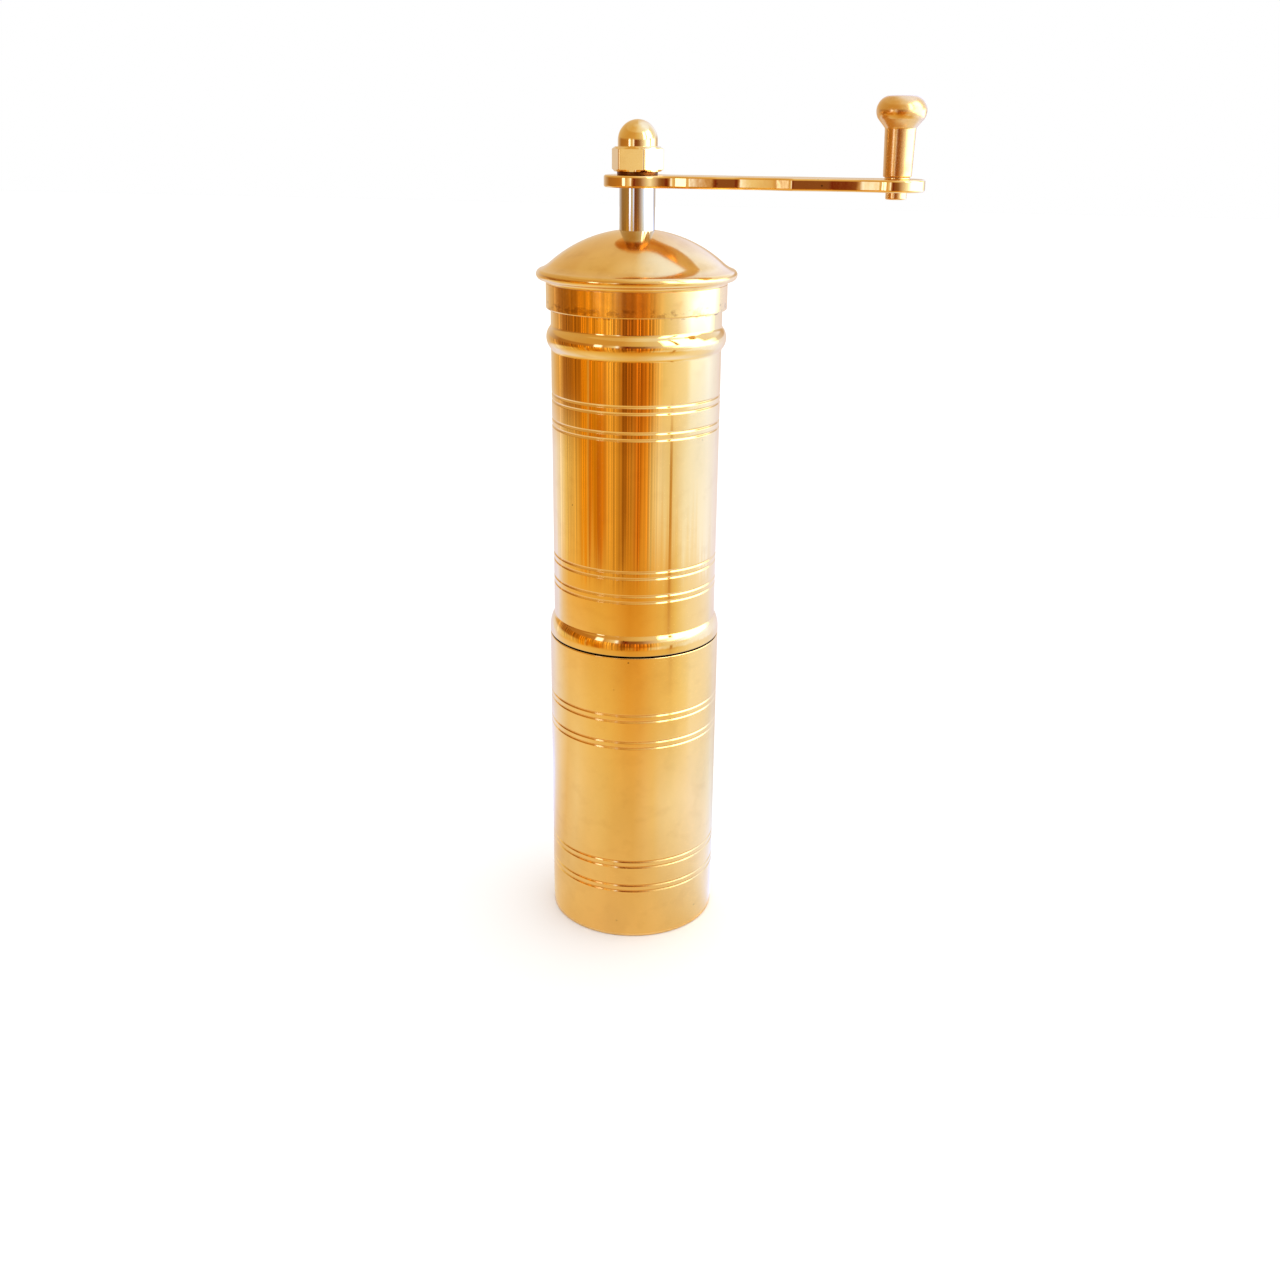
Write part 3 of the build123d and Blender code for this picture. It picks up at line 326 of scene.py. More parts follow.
# %% The painted shell
heights = [skirting if height == FURNITURE_FOOT else height for radius, height, stripes in ROOM]
points = np.concatenate([unit * ring[0] + np.multiply.outer(height + 0 * turns, (0, 0, 1))
                         for ring, height in zip(ROOM, heights)])
columns = len(bearings)
row, column = np.arange(len(ROOM) - 1)[:, None], np.arange(columns - 1)[None]
start = row * columns + column
quads = np.stack([start, start + 1, start + 1 + columns, start + columns], 2).reshape(-1, 4)
room_mesh = bpy.data.meshes.new("room")
room_mesh.from_pydata((points * MM).tolist(), [], quads.tolist())
glow = room_mesh.color_attributes.new("glow", "FLOAT_COLOR", "POINT")
glow.data.foreach_set("color", np.column_stack([lights, np.ones(len(lights))]).ravel())
room = bpy.data.objects.new("room", room_mesh)
scene.collection.objects.link(room)
material, tree = new_tree("room_light")
seen = add(tree, "Attribute", attribute_name="glow")
shine = add(tree, "Emission", {"Color": seen.outputs["Color"]})
add(tree, "OutputMaterial", {"Surface": shine.outputs["Emission"]})
material.cycles.emission_sampling = "NONE"
room_mesh.materials.append(material)
room.visible_camera = False
room.visible_diffuse = False
room.visible_shadow = False
room.visible_transmission = False
print("faces of the room:", len(room_mesh.polygons))

# %% [markdown]
# ## Metals
# *Polished brass*: copper and zinc, spun or drawn into tubes and buffed on a lathe. The
# buffing leaves hair-fine marks round the axis, so reflections stay sharp sideways and
# smear up and down. That is anisotropy, turned by a quarter so that it works across the
# marks. Handling leaves faint smudges, where the surface is duller and a little darker, a
# few dark specks, and a warm brown stain that is strongest on the lid.

# %% Mixing and patterns
def darker(code, share):
    """A hex colour with each channel at that share."""
    parts = [int(int(code[i : i + 2], 16) * share) for i in (1, 3, 5)]
    return "#" + "".join(f"{part:02x}" for part in parts)


def mixed(tree, share, first, second):
    """A colour between two, at that share of the second."""
    made = add(tree, "Mix", {0: share}, data_type="RGBA")
    for socket, value in zip((6, 7), (first, second)):
        if isinstance(value, bpy.types.NodeSocket):
            tree.links.new(value, made.inputs[socket])
        else:
            made.inputs[socket].default_value = value
    return made.outputs[2]


def spread(tree, value, low, high, to_low=0.0, to_high=1.0):
    """A value carried from one range to another, and held at the ends."""
    ends = {"From Min": low, "From Max": high, "To Min": to_low, "To Max": to_high}
    return add(tree, "MapRange", {"Value": value, **ends}).outputs["Result"]


def noise(tree, spot, size, detail=3.0, stretch=(1, 1, 1)):
    """Noise whose features are about that many millimetres across, and stretched by axis."""
    scale = [1 / (size * MM * longer) for longer in stretch]
    scaled = add(tree, "Mapping", {"Vector": spot, "Scale": scale})
    inputs = {"Vector": scaled.outputs["Vector"], "Scale": 1.0, "Detail": detail}
    made = add(tree, "TexNoise", inputs)
    return made.outputs["Fac"]


# %% [markdown]
# ## One recipe for every metal
# The sizes are those of real handling marks, such as a thumb's smudge, and the dirt patches
# also break up a painted shadow. Turning marks are stretched nine times round the axis, so
# they read as rings.

# %% The recipe
# The near black seam colour is painted shade for gaps between parts. The brown dust colour, in
# patches, is real dust and also a painted shadow under the lid's skirt.
SMUDGE, STAIN, SPECK_SPACING, SPECK_CLUSTER, DIRT_AND_SHADOW_PATCH = 12.0, 5.0, 4.5, 11.0, 2.2
STAIN_COLOUR, GAP_SHADE_COLOUR, DUST_AND_SHADOW_COLOUR = "#b4752c", "#241003", "#7a4a1c"


def metal(name, colour, roughness, mark=None, grain=0.0, mark_shape=(9, 9, 1), stretch=0.0,
          tarnish=0.0, grime_and_shade=()):
    """A metal with faint smudges and a few specks.

    mark is the spacing and grain the height, in mm, of turning marks round Z, or of dents
    where mark_shape is even. stretch draws reflections out along the axis. tarnish is the
    share of warm brown staining. The last argument lists (height, reach, patchy) in mm of
    bands round Z painted darker: near black painted shade where patchy is 0, and otherwise
    patchy brown, which is painted shadow or real dirt as each entry says.
    """
    material, tree = new_tree(name)
    spot = add(tree, "TexCoord").outputs["Object"]
    smudge = noise(tree, spot, SMUDGE, 4.0, (1, 1, 1.8))
    base = ramp(tree, smudge, [(0.38, linear(colour)), (0.66, linear(darker(colour, 0.965)))])
    if tarnish:
        blotch = noise(tree, spot, STAIN, 6.0, (1, 1, 0.7))
        patch = spread(tree, blotch, 0.52, 0.72, 0.0, tarnish)
        base = mixed(tree, patch, base, linear(STAIN_COLOUR))
    cells = add(tree, "TexVoronoi", {"Vector": spot, "Scale": 1 / (SPECK_SPACING * MM)})
    near = spread(tree, cells.outputs["Distance"], 0.02, 0.06, 1.0, 0.0)
    kept = spread(tree, noise(tree, spot, SPECK_CLUSTER), 0.56, 0.60)
    speck = add(tree, "Math", {0: near, 1: kept}, operation="MULTIPLY").outputs[0]
    base = mixed(tree, speck, base, linear(darker(colour, 0.5)))
    # Bands round Z painted darker: painted shade in gaps, painted shadow under the skirt, and
    # real dirt.
    for height, reach, patchy in grime_and_shade:
        axes = add(tree, "SeparateXYZ", {"Vector": spot})
        above = add(tree, "Math", {0: axes.outputs["Z"], 1: height * MM}, operation="SUBTRACT")
        away = add(tree, "Math", {0: above.outputs[0]}, operation="ABSOLUTE").outputs[0]
        dirt_and_shade = spread(tree, away, reach * 0.6 * MM, reach * MM, 1.0, 0.0)
        if patchy:
            blotch = noise(tree, spot, DIRT_AND_SHADOW_PATCH, 3.0, (1, 1, 0.6))
            kept = spread(tree, blotch, 0.5, 0.62, 0.0, patchy)
            dirt_and_shade = add(tree, "Math", {0: dirt_and_shade, 1: kept}, operation="MULTIPLY").outputs[0]
        base = mixed(tree, dirt_and_shade, base, linear(DUST_AND_SHADOW_COLOUR if patchy else GAP_SHADE_COLOUR))
    rough = spread(tree, smudge, 0.35, 0.7, roughness * 0.85, roughness * 1.3)
    skin = add(
        tree, "BsdfPrincipled",
        {"Base Color": base, "Metallic": 1.0, "Roughness": rough, "Anisotropic": stretch},
    )
    if stretch:
        skin.inputs["Anisotropic Rotation"].default_value = 0.25
        round_axis = add(tree, "Tangent", direction_type="UV_MAP", uv_map="turning")
        tree.links.new(round_axis.outputs["Tangent"], skin.inputs["Tangent"])
    if mark:
        rings = noise(tree, spot, mark, 2.0, mark_shape)
        bump = add(tree, "Bump", {"Height": rings, "Distance": grain * MM, "Strength": 1.0})
        tree.links.new(bump.outputs["Normal"], skin.inputs["Normal"])
    add(tree, "OutputMaterial", {"Surface": skin.outputs["BSDF"]})
    return material


# %% [markdown]
# ## The finishes
# Each finish says how the piece was made. *Drawn and buffed* tubes have long soft
# reflections. *Spun* brass, the lid, is a little duller and has more stains. The arm is
# *filed* by hand, and faint dents break up what it mirrors. The knob is left as it came
# off the lathe, with marks drawn three times coarser than real ones so that they show.

# %% Brass, steel and bronze
skirt_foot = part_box("lid_skirt")[0][2] / MM
# Painted shade: a near black band in the gap between the seat ring and the cup.
SEAT_GAP_SHADE = (73.12, 0.46, 0)
# Painted shadow: a patchy brown band on the barrel just under the lid's skirt. The smudges on the
# next line are real dirt on the skirt's foot.
SKIRT_SHADOW = (skirt_foot - 0.1, 0.4, 0.7)
SKIRT_SMUDGES = (skirt_foot + 1.0, 1.1, 0.4)
cup_brass = metal("cup_brass", BRASS, 0.12, stretch=0.9, tarnish=0.10)
barrel_brass = metal("barrel_brass", BRASS, 0.06, stretch=0.93, tarnish=0.10,
                     grime_and_shade=[SEAT_GAP_SHADE, SKIRT_SHADOW])
lid_brass = metal("lid_brass", BRASS, 0.13, stretch=0.5, tarnish=0.18,
                  grime_and_shade=[SKIRT_SMUDGES])
buffed_brass = metal("buffed_brass", BRASS, 0.07, mark=2.4, grain=0.02,
                     mark_shape=(1, 1, 1), tarnish=0.15)
nut_brass = metal("nut_brass", "#f3cd88", 0.09, tarnish=0.15)
# Nearly black brown: painted shade for the dark gap under the cap nut, used on the washer there.
painted_shade_brass = metal("painted_shade_brass", "#6b3c14", 0.30, tarnish=0.5)
turned_brass = metal("turned_brass", "#e6b878", 0.20, mark=0.32, grain=0.009, tarnish=0.4)
cast_brass = metal("cast_brass", "#c99a55", 0.38, mark=0.6, grain=0.02)
bronze = metal("bearing_bronze", "#b98150", 0.30, mark=0.3, grain=0.004)
bright_steel = metal("chromed_steel", "#d2cabe", 0.08, stretch=0.8)
ball_steel = metal("polished_steel", "#cfd1d3", 0.08)
plain_steel = metal("machined_steel", "#a9abad", 0.28, mark=0.3, grain=0.004)
hard_steel = metal("hardened_steel", "#56575a", 0.42, mark=0.5, grain=0.01)
print("materials so far:", len(bpy.data.materials))

# %% [markdown]
# ## Turned surfaces
# A turned piece is an outline carried round an axis. The outline is a closed loop of
# (radius, height) points. A mirror finish also needs exact normals beside every rounded
# corner, so each long straight run gets a guard point close to both of its ends.

# %% Outline helpers
GUARD = 0.05
CORNER_POINTS = 7


def rounded(corners, closed=True):
    """A loop of straight runs whose corners (radius, height, round) become arcs.

    The arc's centre lies on the corner's bisector, at round / sin(half the angle), and the
    arc meets both runs square to its radius.
    """
    corners = np.array([tuple(c) + (0.0,) * (3 - len(c)) for c in corners], float)
    spots, rounds = corners[:, :2], corners[:, 2]
    before, after = np.roll(spots, 1, 0), np.roll(spots, -1, 0)
    points = []
    for here, back, ahead, size in zip(spots, before, after, rounds):
        to_back, to_ahead = back - here, ahead - here
        reach_back, reach_ahead = np.hypot(*to_back), np.hypot(*to_ahead)
        if size == 0:
            points.append(here[None])
            continue
        to_back, to_ahead = to_back / reach_back, to_ahead / reach_ahead
        half = np.arccos(np.clip(to_back @ to_ahead, -1, 1)) / 2
        cut = min(size / np.tan(half), 0.48 * reach_back, 0.48 * reach_ahead)
        size = cut * np.tan(half)
        bisector = (to_back + to_ahead) / np.hypot(*(to_back + to_ahead))
        centre = here + bisector * size / np.sin(half)
        start, end = here + to_back * cut - centre, here + to_ahead * cut - centre
        sweep = np.arctan2(start[0] * end[1] - start[1] * end[0], start @ end)
        angles = np.linspace(0, 1, CORNER_POINTS)[:, None] * sweep
        side = np.array([-start[1], start[0]])
        points.append(centre + start * np.cos(angles) + side * np.sin(angles))
    return guarded(np.vstack(points), closed)


def guarded(points, closed=True):
    """The same outline with guard points near both ends of each long run."""
    ahead = np.roll(points, -1, 0)
    run = np.hypot(*(ahead - points).T)
    long = run > 4 * GUARD
    if not closed:
        long[-1] = False
    unit = (ahead - points) / np.maximum(run, 1e-9)[:, None]
    near, far = points + unit * GUARD, ahead - unit * GUARD
    stacked = np.stack([points, near, far], 1)
    keep = np.stack([np.ones_like(long), long, long], 1)
    return stacked[keep]


def arc(centre, radius, start, end, count=24):
    """Points on a circle's arc, from one angle to another in degrees."""
    angles = np.radians(np.linspace(start, end, count))
    return np.array(centre) + radius * np.column_stack([np.cos(angles), np.sin(angles)])


# %% Surface of revolution
def strip_faces(rows, columns, base):
    """Quads between the rings of a closed band of rows by columns points."""
    row, column = np.arange(rows - 1)[:, None], np.arange(columns)[None]
    over = (column + 1) % columns
    low_left, top_left = base + row * columns, base + (row + 1) * columns
    return np.stack(
        [low_left + column, low_left + over, top_left + over, top_left + column], 2
    ).reshape(-1, 4)


def pole_faces(rows, columns, pole):
    """Triangles from the first ring to a point, and from the last ring to the next point."""
    here = np.arange(columns)
    ahead, last = (here + 1) % columns, (rows - 1) * columns
    bottom = np.column_stack([np.full(columns, pole), ahead, here])
    top = np.column_stack([last + here, last + ahead, np.full(columns, pole + 1)])
    return bottom.tolist() + top.tolist()


def turned(name, outline, body, material, stands_for, axis=(0, 0), facets=256,
           reshape=None):
    """A solid of revolution: (radius, height) becomes (r cos t, r sin t, height).

    The outline runs upwards on the outside, which turns the faces outwards. Where it
    starts and ends on the axis, both ends close to a pole, and otherwise it is a loop.
    The piece's own map holds the turn in u and the length along the outline in v. reshape
    moves the finished grid of points, where the piece isn't quite round.
    """
    on_axis = outline[0, 0] < 1e-6 and outline[-1, 0] < 1e-6
    rings = outline[1:-1] if on_axis else outline
    angle = np.arange(facets) * 2 * pi / facets
    x = rings[:, :1] * np.cos(angle) + axis[0]
    y = rings[:, :1] * np.sin(angle) + axis[1]
    z = np.repeat(rings[:, 1:], facets, 1)
    points = np.stack([x, y, z], 2).reshape(-1, 3)
    if reshape:
        points = reshape(points)
    rows = len(rings)
    bands = rows - 1 if on_axis else rows
    faces = (strip_faces(bands + 1, facets, 0) % (rows * facets)).tolist()
    row, column = np.arange(bands)[:, None], np.arange(facets)[None]
    step = np.hypot(*(np.roll(rings, -1, 0) - rings).T)
    along = np.concatenate([[0], np.cumsum(step)])
    u_left, u_right = column / facets + 0 * row, (column + 1) / facets + 0 * row
    v_low, v_top = along[row] + 0 * column, along[row + 1] + 0 * column
    corners_uv = [(u_left, v_low), (u_right, v_low), (u_right, v_top), (u_left, v_top)]
    uv = np.stack([np.stack(pair, 2) for pair in corners_uv], 2).reshape(-1, 2)
    if on_axis:
        faces += pole_faces(rows, facets, len(points))
        points = np.vstack([points, [*axis, outline[0, 1]], [*axis, outline[-1, 1]]])
        j = np.arange(facets)
        left, middle, right = j / facets, (j + 0.5) / facets, (j + 1) / facets
        for fan, v in (((middle, right, left), 0), ((left, right, middle), along[-2])):
            part = np.stack([[u, 0 * j + v] for u in fan], 0)
            uv = np.vstack([uv, part.transpose(2, 0, 1).reshape(-1, 2)])
    return finish_piece(name, points, faces, body, material, stands_for, uv)


def finish_piece(name, points, faces, body, material, stands_for, uv=None):
    """A smooth mesh object from points in mm, which stands for CAD nodes.

    It rides on the named body, or on none.
    """
    mesh = bpy.data.meshes.new(name)
    mesh.from_pydata((points * MM).tolist(), [], faces)
    mesh.polygons.foreach_set("use_smooth", np.ones(len(mesh.polygons), bool))
    if uv is not None:
        layer = mesh.uv_layers.new(name="turning")
        layer.data.foreach_set("uv", uv.astype(np.float32).ravel())
    mesh.materials.append(material)
    mesh.update()
    mesh.set_sharp_from_angle(angle=radians(38))
    piece = bpy.data.objects.new(name, mesh)
    scene.collection.objects.link(piece)
    if body:
        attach(piece, body)
    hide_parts(*stands_for)
    print(f"{name}: {len(mesh.vertices)} points, {len(mesh.polygons)} faces")
    return piece


def reach(node):
    """A node's box in millimetres, as its low and high corners."""
    low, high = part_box(node)
    return np.array(low) / MM, np.array(high) / MM


# %% [markdown]
# ## The receiver cup
# The cup is a drawn tube with four pairs of fine lines cut on the lathe. Each line is a
# shallow groove with a rounded bottom, and its two lips are softened by the buffing, so it
# catches the light as a bright thread.

# %% Receiver tube and its base
LINE_PITCH = 1.5
LINE_HALF = 0.34
LINE_DEPTH = 0.2


def line_corners(radius, centres):
    """Corners of pairs of grooves down an outside wall, listed upwards."""
    heights = sorted(mid + side * LINE_PITCH / 2 for mid in centres for side in (-1, 1))
    corners = []
    for height in heights:
        corners += [
            (radius, height - LINE_HALF, 0.16),
            (radius - LINE_DEPTH, height, 0.12),
            (radius, height + LINE_HALF, 0.16),
        ]
    return corners


low, high = reach("receiver_tube")
cup_radius, cup_top = high[0], high[2]
cup_bore = reach("receiver_base")[1][0]
cup_lines = (13.4, 19.9, cup_top - 21.7, cup_top - 15.0)
outline = rounded(
    [(cup_bore, 0, 0.05), (cup_radius, 0, 0.6), *line_corners(cup_radius, cup_lines),
     (cup_radius, cup_top, 0.25), (cup_bore, cup_top, 0.2)]
)
turned("receiver_tube_skin", outline, "receiver", cup_brass, ["receiver_tube"])

base_top = reach("receiver_base")[1][2]
outline = rounded(
    [(0, 0), (cup_bore, 0, 0.05), (cup_bore, base_top, 0.05), (0, base_top)], closed=False
)
turned("receiver_base_skin", outline, "receiver", cup_brass, ["receiver_base"])

# %% [markdown]
# ## The barrel
# The barrel tube carries two bands of lines and a rolled bead under the lid. The bead is a
# round crest that flows into the tube through two hollow arcs. Where a crest of radius c
# meets a hollow of radius h, both share a tangent, so their centres are c + h apart.

# %% Barrel tube with its bead
BEAD_BELOW_TOP = 11.55
BEAD_PROUD = 1.03
BEAD_CREST = 3.4
BEAD_ROOT = 1.3


def bead(radius, middle):
    """Points up a bead: a lower hollow, the crest, and an upper hollow."""
    crest_x = radius + BEAD_PROUD - BEAD_CREST
    out = radius + BEAD_ROOT - crest_x
    rise = sqrt((BEAD_CREST + BEAD_ROOT) ** 2 - out**2)
    lean = degrees(atan2(rise, out))
    lower = arc((radius + BEAD_ROOT, middle - rise), BEAD_ROOT, 180, 180 - lean, 12)
    crest = arc((crest_x, middle), BEAD_CREST, -lean, lean, 40)
    upper = arc((radius + BEAD_ROOT, middle + rise), BEAD_ROOT, 180 + lean, 180, 12)
    return np.vstack([lower, crest[1:-1], upper])


low, high = reach("barrel_tube")
spigot_end, barrel_top = low[2], high[2]
tube_radius = reach("upper_bridge")[1][0]
tube_bore = reach("burr_ring")[1][0]
seat = reach("seat_ring")[0][2]
bead_height = barrel_top - BEAD_BELOW_TOP
barrel_lines = (cup_top + 13.7, cup_top + 19.3, bead_height - 18.75, bead_height - 13.05)
outline = rounded(
    [(tube_bore, spigot_end, 0.2), (tube_radius, spigot_end, 0.25),
     *line_corners(tube_radius, barrel_lines), *bead(tube_radius, bead_height),
     (tube_radius, barrel_top, 0.15), (tube_bore, barrel_top, 0.1)]
)
bridge_low, bridge_high = reach("upper_bridge")
NOTCH_FLOOR = 0.02               # share of the height that is left on a notch's floor
NOTCH_INSIDE, NOTCH_OUTSIDE = 0.03, 0.07  # how far both columns stand past the eye's width


def notched(points):
    """The tube's top edge with two notches for the bridge's ends.

    Between a notch's sides, a height h above the bridge's underside becomes
    bottom + NOTCH_FLOOR (h - bottom). The columns of points beside them slide round the tube.
    """
    x, y, z = points.T.copy()
    bottom, half = bridge_low[2], bridge_high[1]
    beside, size = np.abs(y), np.hypot(x, y)
    moved = np.where(beside < half + 0.3, half + NOTCH_INSIDE, half + NOTCH_OUTSIDE)
    slides = (z > bottom - 1) & (beside > half - 0.15) & (beside < half + 0.75)
    beside = np.where(slides, moved, beside)
    y = np.where(slides, np.sign(y) * beside, y)
    x = np.where(slides, np.sign(x) * np.sqrt(size**2 - beside**2), x)
    pressed = (z > bottom) & (beside < half + 0.05)
    z = np.where(pressed, bottom + NOTCH_FLOOR * (z - bottom), z)
    return np.column_stack([x, y, z])


turned("barrel_tube_skin", outline, "barrel", barrel_brass, ["barrel_tube"],
       reshape=notched)

# %% [markdown]
# ## The seat ring
# Where the barrel meets the cup, a ring rests on the cup's mouth. It has a short upright
# land, and above it one round shoulder that leans in to the tube. A shoulder that comes in
# by w over a rise h, and starts upright, has radius (w * w + h * h) / 2 w.

# %% Seat ring
ring_outer = reach("seat_ring")[1][0]
SEAT_LAND, SEAT_RISE, SEAT_LIP = 1.2, 3.2, 0.12
inward = ring_outer - tube_radius - SEAT_LIP
shoulder = (inward**2 + SEAT_RISE**2) / (2 * inward)
top_angle = degrees(np.arcsin(SEAT_RISE / shoulder))
land_top = seat + SEAT_LAND
outline = rounded(
    [(tube_radius - 0.02, seat, 0.05), (ring_outer, seat, 0.3), (ring_outer, land_top - 0.02),
     *arc((ring_outer - shoulder, land_top), shoulder, 0, top_angle, 24),
     (tube_radius - 0.02, land_top + SEAT_RISE + 0.3, 0.02)]
)
turned("seat_ring_skin", outline, "barrel", barrel_brass, ["seat_ring"])

# %% [markdown]
# ## The lid
# The lid was spun over a form: a shallow dome, a flared cove and a round rim, with a
# straight skirt soldered under it. The cove touches both the dome's and the rim's circles,
# so its centre is where two larger circles meet.

# %% Lid dome and skirt
RIM_ROUND = 1.1
RIM_RISE = 1.95
DOME_RADIUS = 29.3
CROWN_RISE = 11.4
FLARE_RADIUS = 7.0
LID_WALL = 0.9

low, high = reach("lid_dome")
ledge, rim_reach = low[2], high[0]
skirt_radius = reach("lid_skirt")[1][0]
hole = reach("shaft_sleeve")[1][0] + 0.1
rim_centre = np.array([rim_reach - RIM_ROUND, ledge + RIM_RISE])
dome_centre = np.array([0, ledge + CROWN_RISE - DOME_RADIUS])
gap = dome_centre - rim_centre
span = np.hypot(*gap)
near, far = RIM_ROUND + FLARE_RADIUS, DOME_RADIUS + FLARE_RADIUS
along = (near**2 - far**2 + span**2) / (2 * span)
aside = sqrt(near**2 - along**2)
flare_centre = rim_centre + gap / span * along + np.array([gap[1], -gap[0]]) / span * aside


def bearing_from(centre, target):
    """The angle of the line from one point to another, in degrees."""
    return degrees(atan2(target[1] - centre[1], target[0] - centre[0]))


rim_end = bearing_from(rim_centre, flare_centre)
dome_start = bearing_from(dome_centre, flare_centre)
dome_end = degrees(np.arccos(hole / DOME_RADIUS))
inner_end = degrees(np.arccos(hole / (DOME_RADIUS - LID_WALL)))
ledge_inside = tube_radius - 0.8
inner_start = degrees(np.arccos(ledge_inside / (DOME_RADIUS - LID_WALL)))
cove_start = bearing_from(flare_centre, rim_centre)
cove_end = bearing_from(flare_centre, dome_centre)
print("cove from", round(cove_start), "to", round(cove_end), "degrees")
outline = rounded(
    [(ledge_inside, ledge, 0.1), (skirt_radius - 0.1, ledge), (skirt_radius, ledge + 0.1),
     *arc((skirt_radius + 0.9, ledge + 0.05), 0.9, 176, 100, 10),
     *arc(rim_centre, RIM_ROUND, -88, rim_end, 36),
     *arc(flare_centre, FLARE_RADIUS, cove_start, cove_end, 24)[1:],
     *arc(dome_centre, DOME_RADIUS, dome_start, dome_end, 60)[1:-1],
     (hole, dome_centre[1] + DOME_RADIUS * sin(radians(dome_end)), 0.2),
     (hole, dome_centre[1] + (DOME_RADIUS - LID_WALL) * sin(radians(inner_end)), 0.05),
     *arc(dome_centre, DOME_RADIUS - LID_WALL, inner_end, inner_start, 30)[1:]]
)
turned("lid_dome_skin", outline, "lid", lid_brass, ["lid_dome"])

skirt_low, skirt_high = reach("lid_skirt")
outline = rounded(
    [(tube_radius + 0.1, skirt_low[2], 0.1), (skirt_radius, skirt_low[2], 0.3),
     (skirt_radius, skirt_high[2], 0.02), (tube_radius + 0.1, skirt_high[2], 0.02)]
)
turned("lid_skirt_skin", outline, "lid", lid_brass, ["lid_skirt"])

# %% [markdown]
# ## Sleeve and washer
# These are small turned pieces, so fewer facets are enough. The sleeve is a bright steel
# tube between the lid and the arm. The washer under the nut is painted nearly black, as
# painted shade for the dark gap under the nut.

# %% Sleeve and washer
def ring_outline(inner, outer, low, high, inner_round, outer_round):
    """The section of a plain ring, from its inner to its outer radius."""
    return rounded([(inner, low, inner_round), (outer, low, outer_round),
                    (outer, high, outer_round), (inner, high, inner_round)])


low, high = reach("shaft_sleeve")
shaft_radius = reach("drive_shaft")[1][0]
outline = ring_outline(shaft_radius, high[0], low[2], high[2], 0.05, 0.1)
turned("shaft_sleeve_skin", outline, "rotor", bright_steel,
       ["shaft_sleeve"], facets=128)

low, high = reach("nut_washer")
outline = ring_outline(shaft_radius, high[0], low[2], high[2], 0.05, 0.15)
turned("nut_washer_skin", outline, "rotor", painted_shade_brass,
       ["nut_washer"], facets=128)

# %% [markdown]
# ## Knob, plug and pin
# The knob is one turned grip on a pin riveted into the arm: a stem that widens slightly, a
# short cone and a rounded head. A plug closes the well over the pin's head.

# %% Knob and its plug
PIN_RADIUS, PIN_HEAD_RADIUS, PIN_HEAD, PIN_SHANK_RADIUS = 1.6, 2.1, 0.9, 1.9
PIN_PLAY = 0.05
STEM_RADIUS, STEM_TOP_RADIUS, CONE_TOP_RADIUS, WELL_RADIUS = 2.9, 3.15, 4.45, 2.35
STEM_RISE, CONE_RISE, HEAD_RISE, WELL_RISE = 9.4, 10.95, 12.7, 11.2  # above the grip's foot
HEAD_INSET = 2.1  # how far from the axis the head's round side is centred
knob_low, knob_high = reach("knob_grip")
knob_axis = ((knob_low[0] + knob_high[0]) / 2, 0.0)
head_radius = (knob_high[0] - knob_low[0]) / 2
foot, top = knob_low[2], knob_high[2]
pin_hole = PIN_RADIUS + PIN_PLAY
well_floor = foot + WELL_RISE
outline = rounded(
    [(pin_hole, foot, 0.05), (STEM_RADIUS, foot, 0.25), (STEM_TOP_RADIUS, foot + STEM_RISE, 0.5),
     (CONE_TOP_RADIUS, foot + CONE_RISE),
     *arc((HEAD_INSET, foot + HEAD_RISE), head_radius - HEAD_INSET, -32, 70, 40),
     (WELL_RADIUS, top, 0.05), (WELL_RADIUS, well_floor, 0.05), (pin_hole, well_floor, 0.05)]
)
turned("knob_grip_skin", outline, "knob", turned_brass, ["knob_grip"],
       knob_axis, 128)

low, high = reach("knob_cap")
outline = rounded([(0, low[2]), (WELL_RADIUS, low[2], 0.05), (WELL_RADIUS, high[2], 0.12),
                   (0, high[2])], closed=False)
turned("knob_cap_skin", outline, "knob", turned_brass, ["knob_cap"],
       knob_axis, 96)

# %% Pin and its washer
low, high = reach("knob_pin")
arm_low, arm_high = reach("crank_arm")
foot_radius = (high[0] - low[0]) / 2
outline = rounded(
    [(0, low[2]), (foot_radius, low[2], 0.3), (foot_radius, arm_low[2], 0.05),
     (PIN_SHANK_RADIUS, arm_low[2], 0), (PIN_SHANK_RADIUS, arm_high[2], 0),
     (PIN_RADIUS, arm_high[2], 0), (PIN_RADIUS, high[2] - PIN_HEAD, 0),
     (PIN_HEAD_RADIUS, high[2] - PIN_HEAD, 0), (PIN_HEAD_RADIUS, high[2], 0.3), (0, high[2])],
    closed=False,
)
turned("knob_pin_skin", outline, "rotor", turned_brass, ["knob_pin"],
       knob_axis, 96)

low, high = reach("knob_washer")
outline = ring_outline(pin_hole, (high[0] - low[0]) / 2, low[2], high[2], 0.03, 0.08)
turned("knob_washer_skin", outline, "rotor", buffed_brass, ["knob_washer"],
       knob_axis, 96)

# %% [markdown]
# ## The cap nut
# The nut's six flats blend into each other over small rounded corners. A level line of a
# high power sum over the six face directions gives just that: r = (sum of (cos(t - f) / a)
# to the power p) to the power -1/p, where a is half the width across the flats. Up the
# nut, the radius is the smaller of that and a turned envelope, which cuts the chamfers.

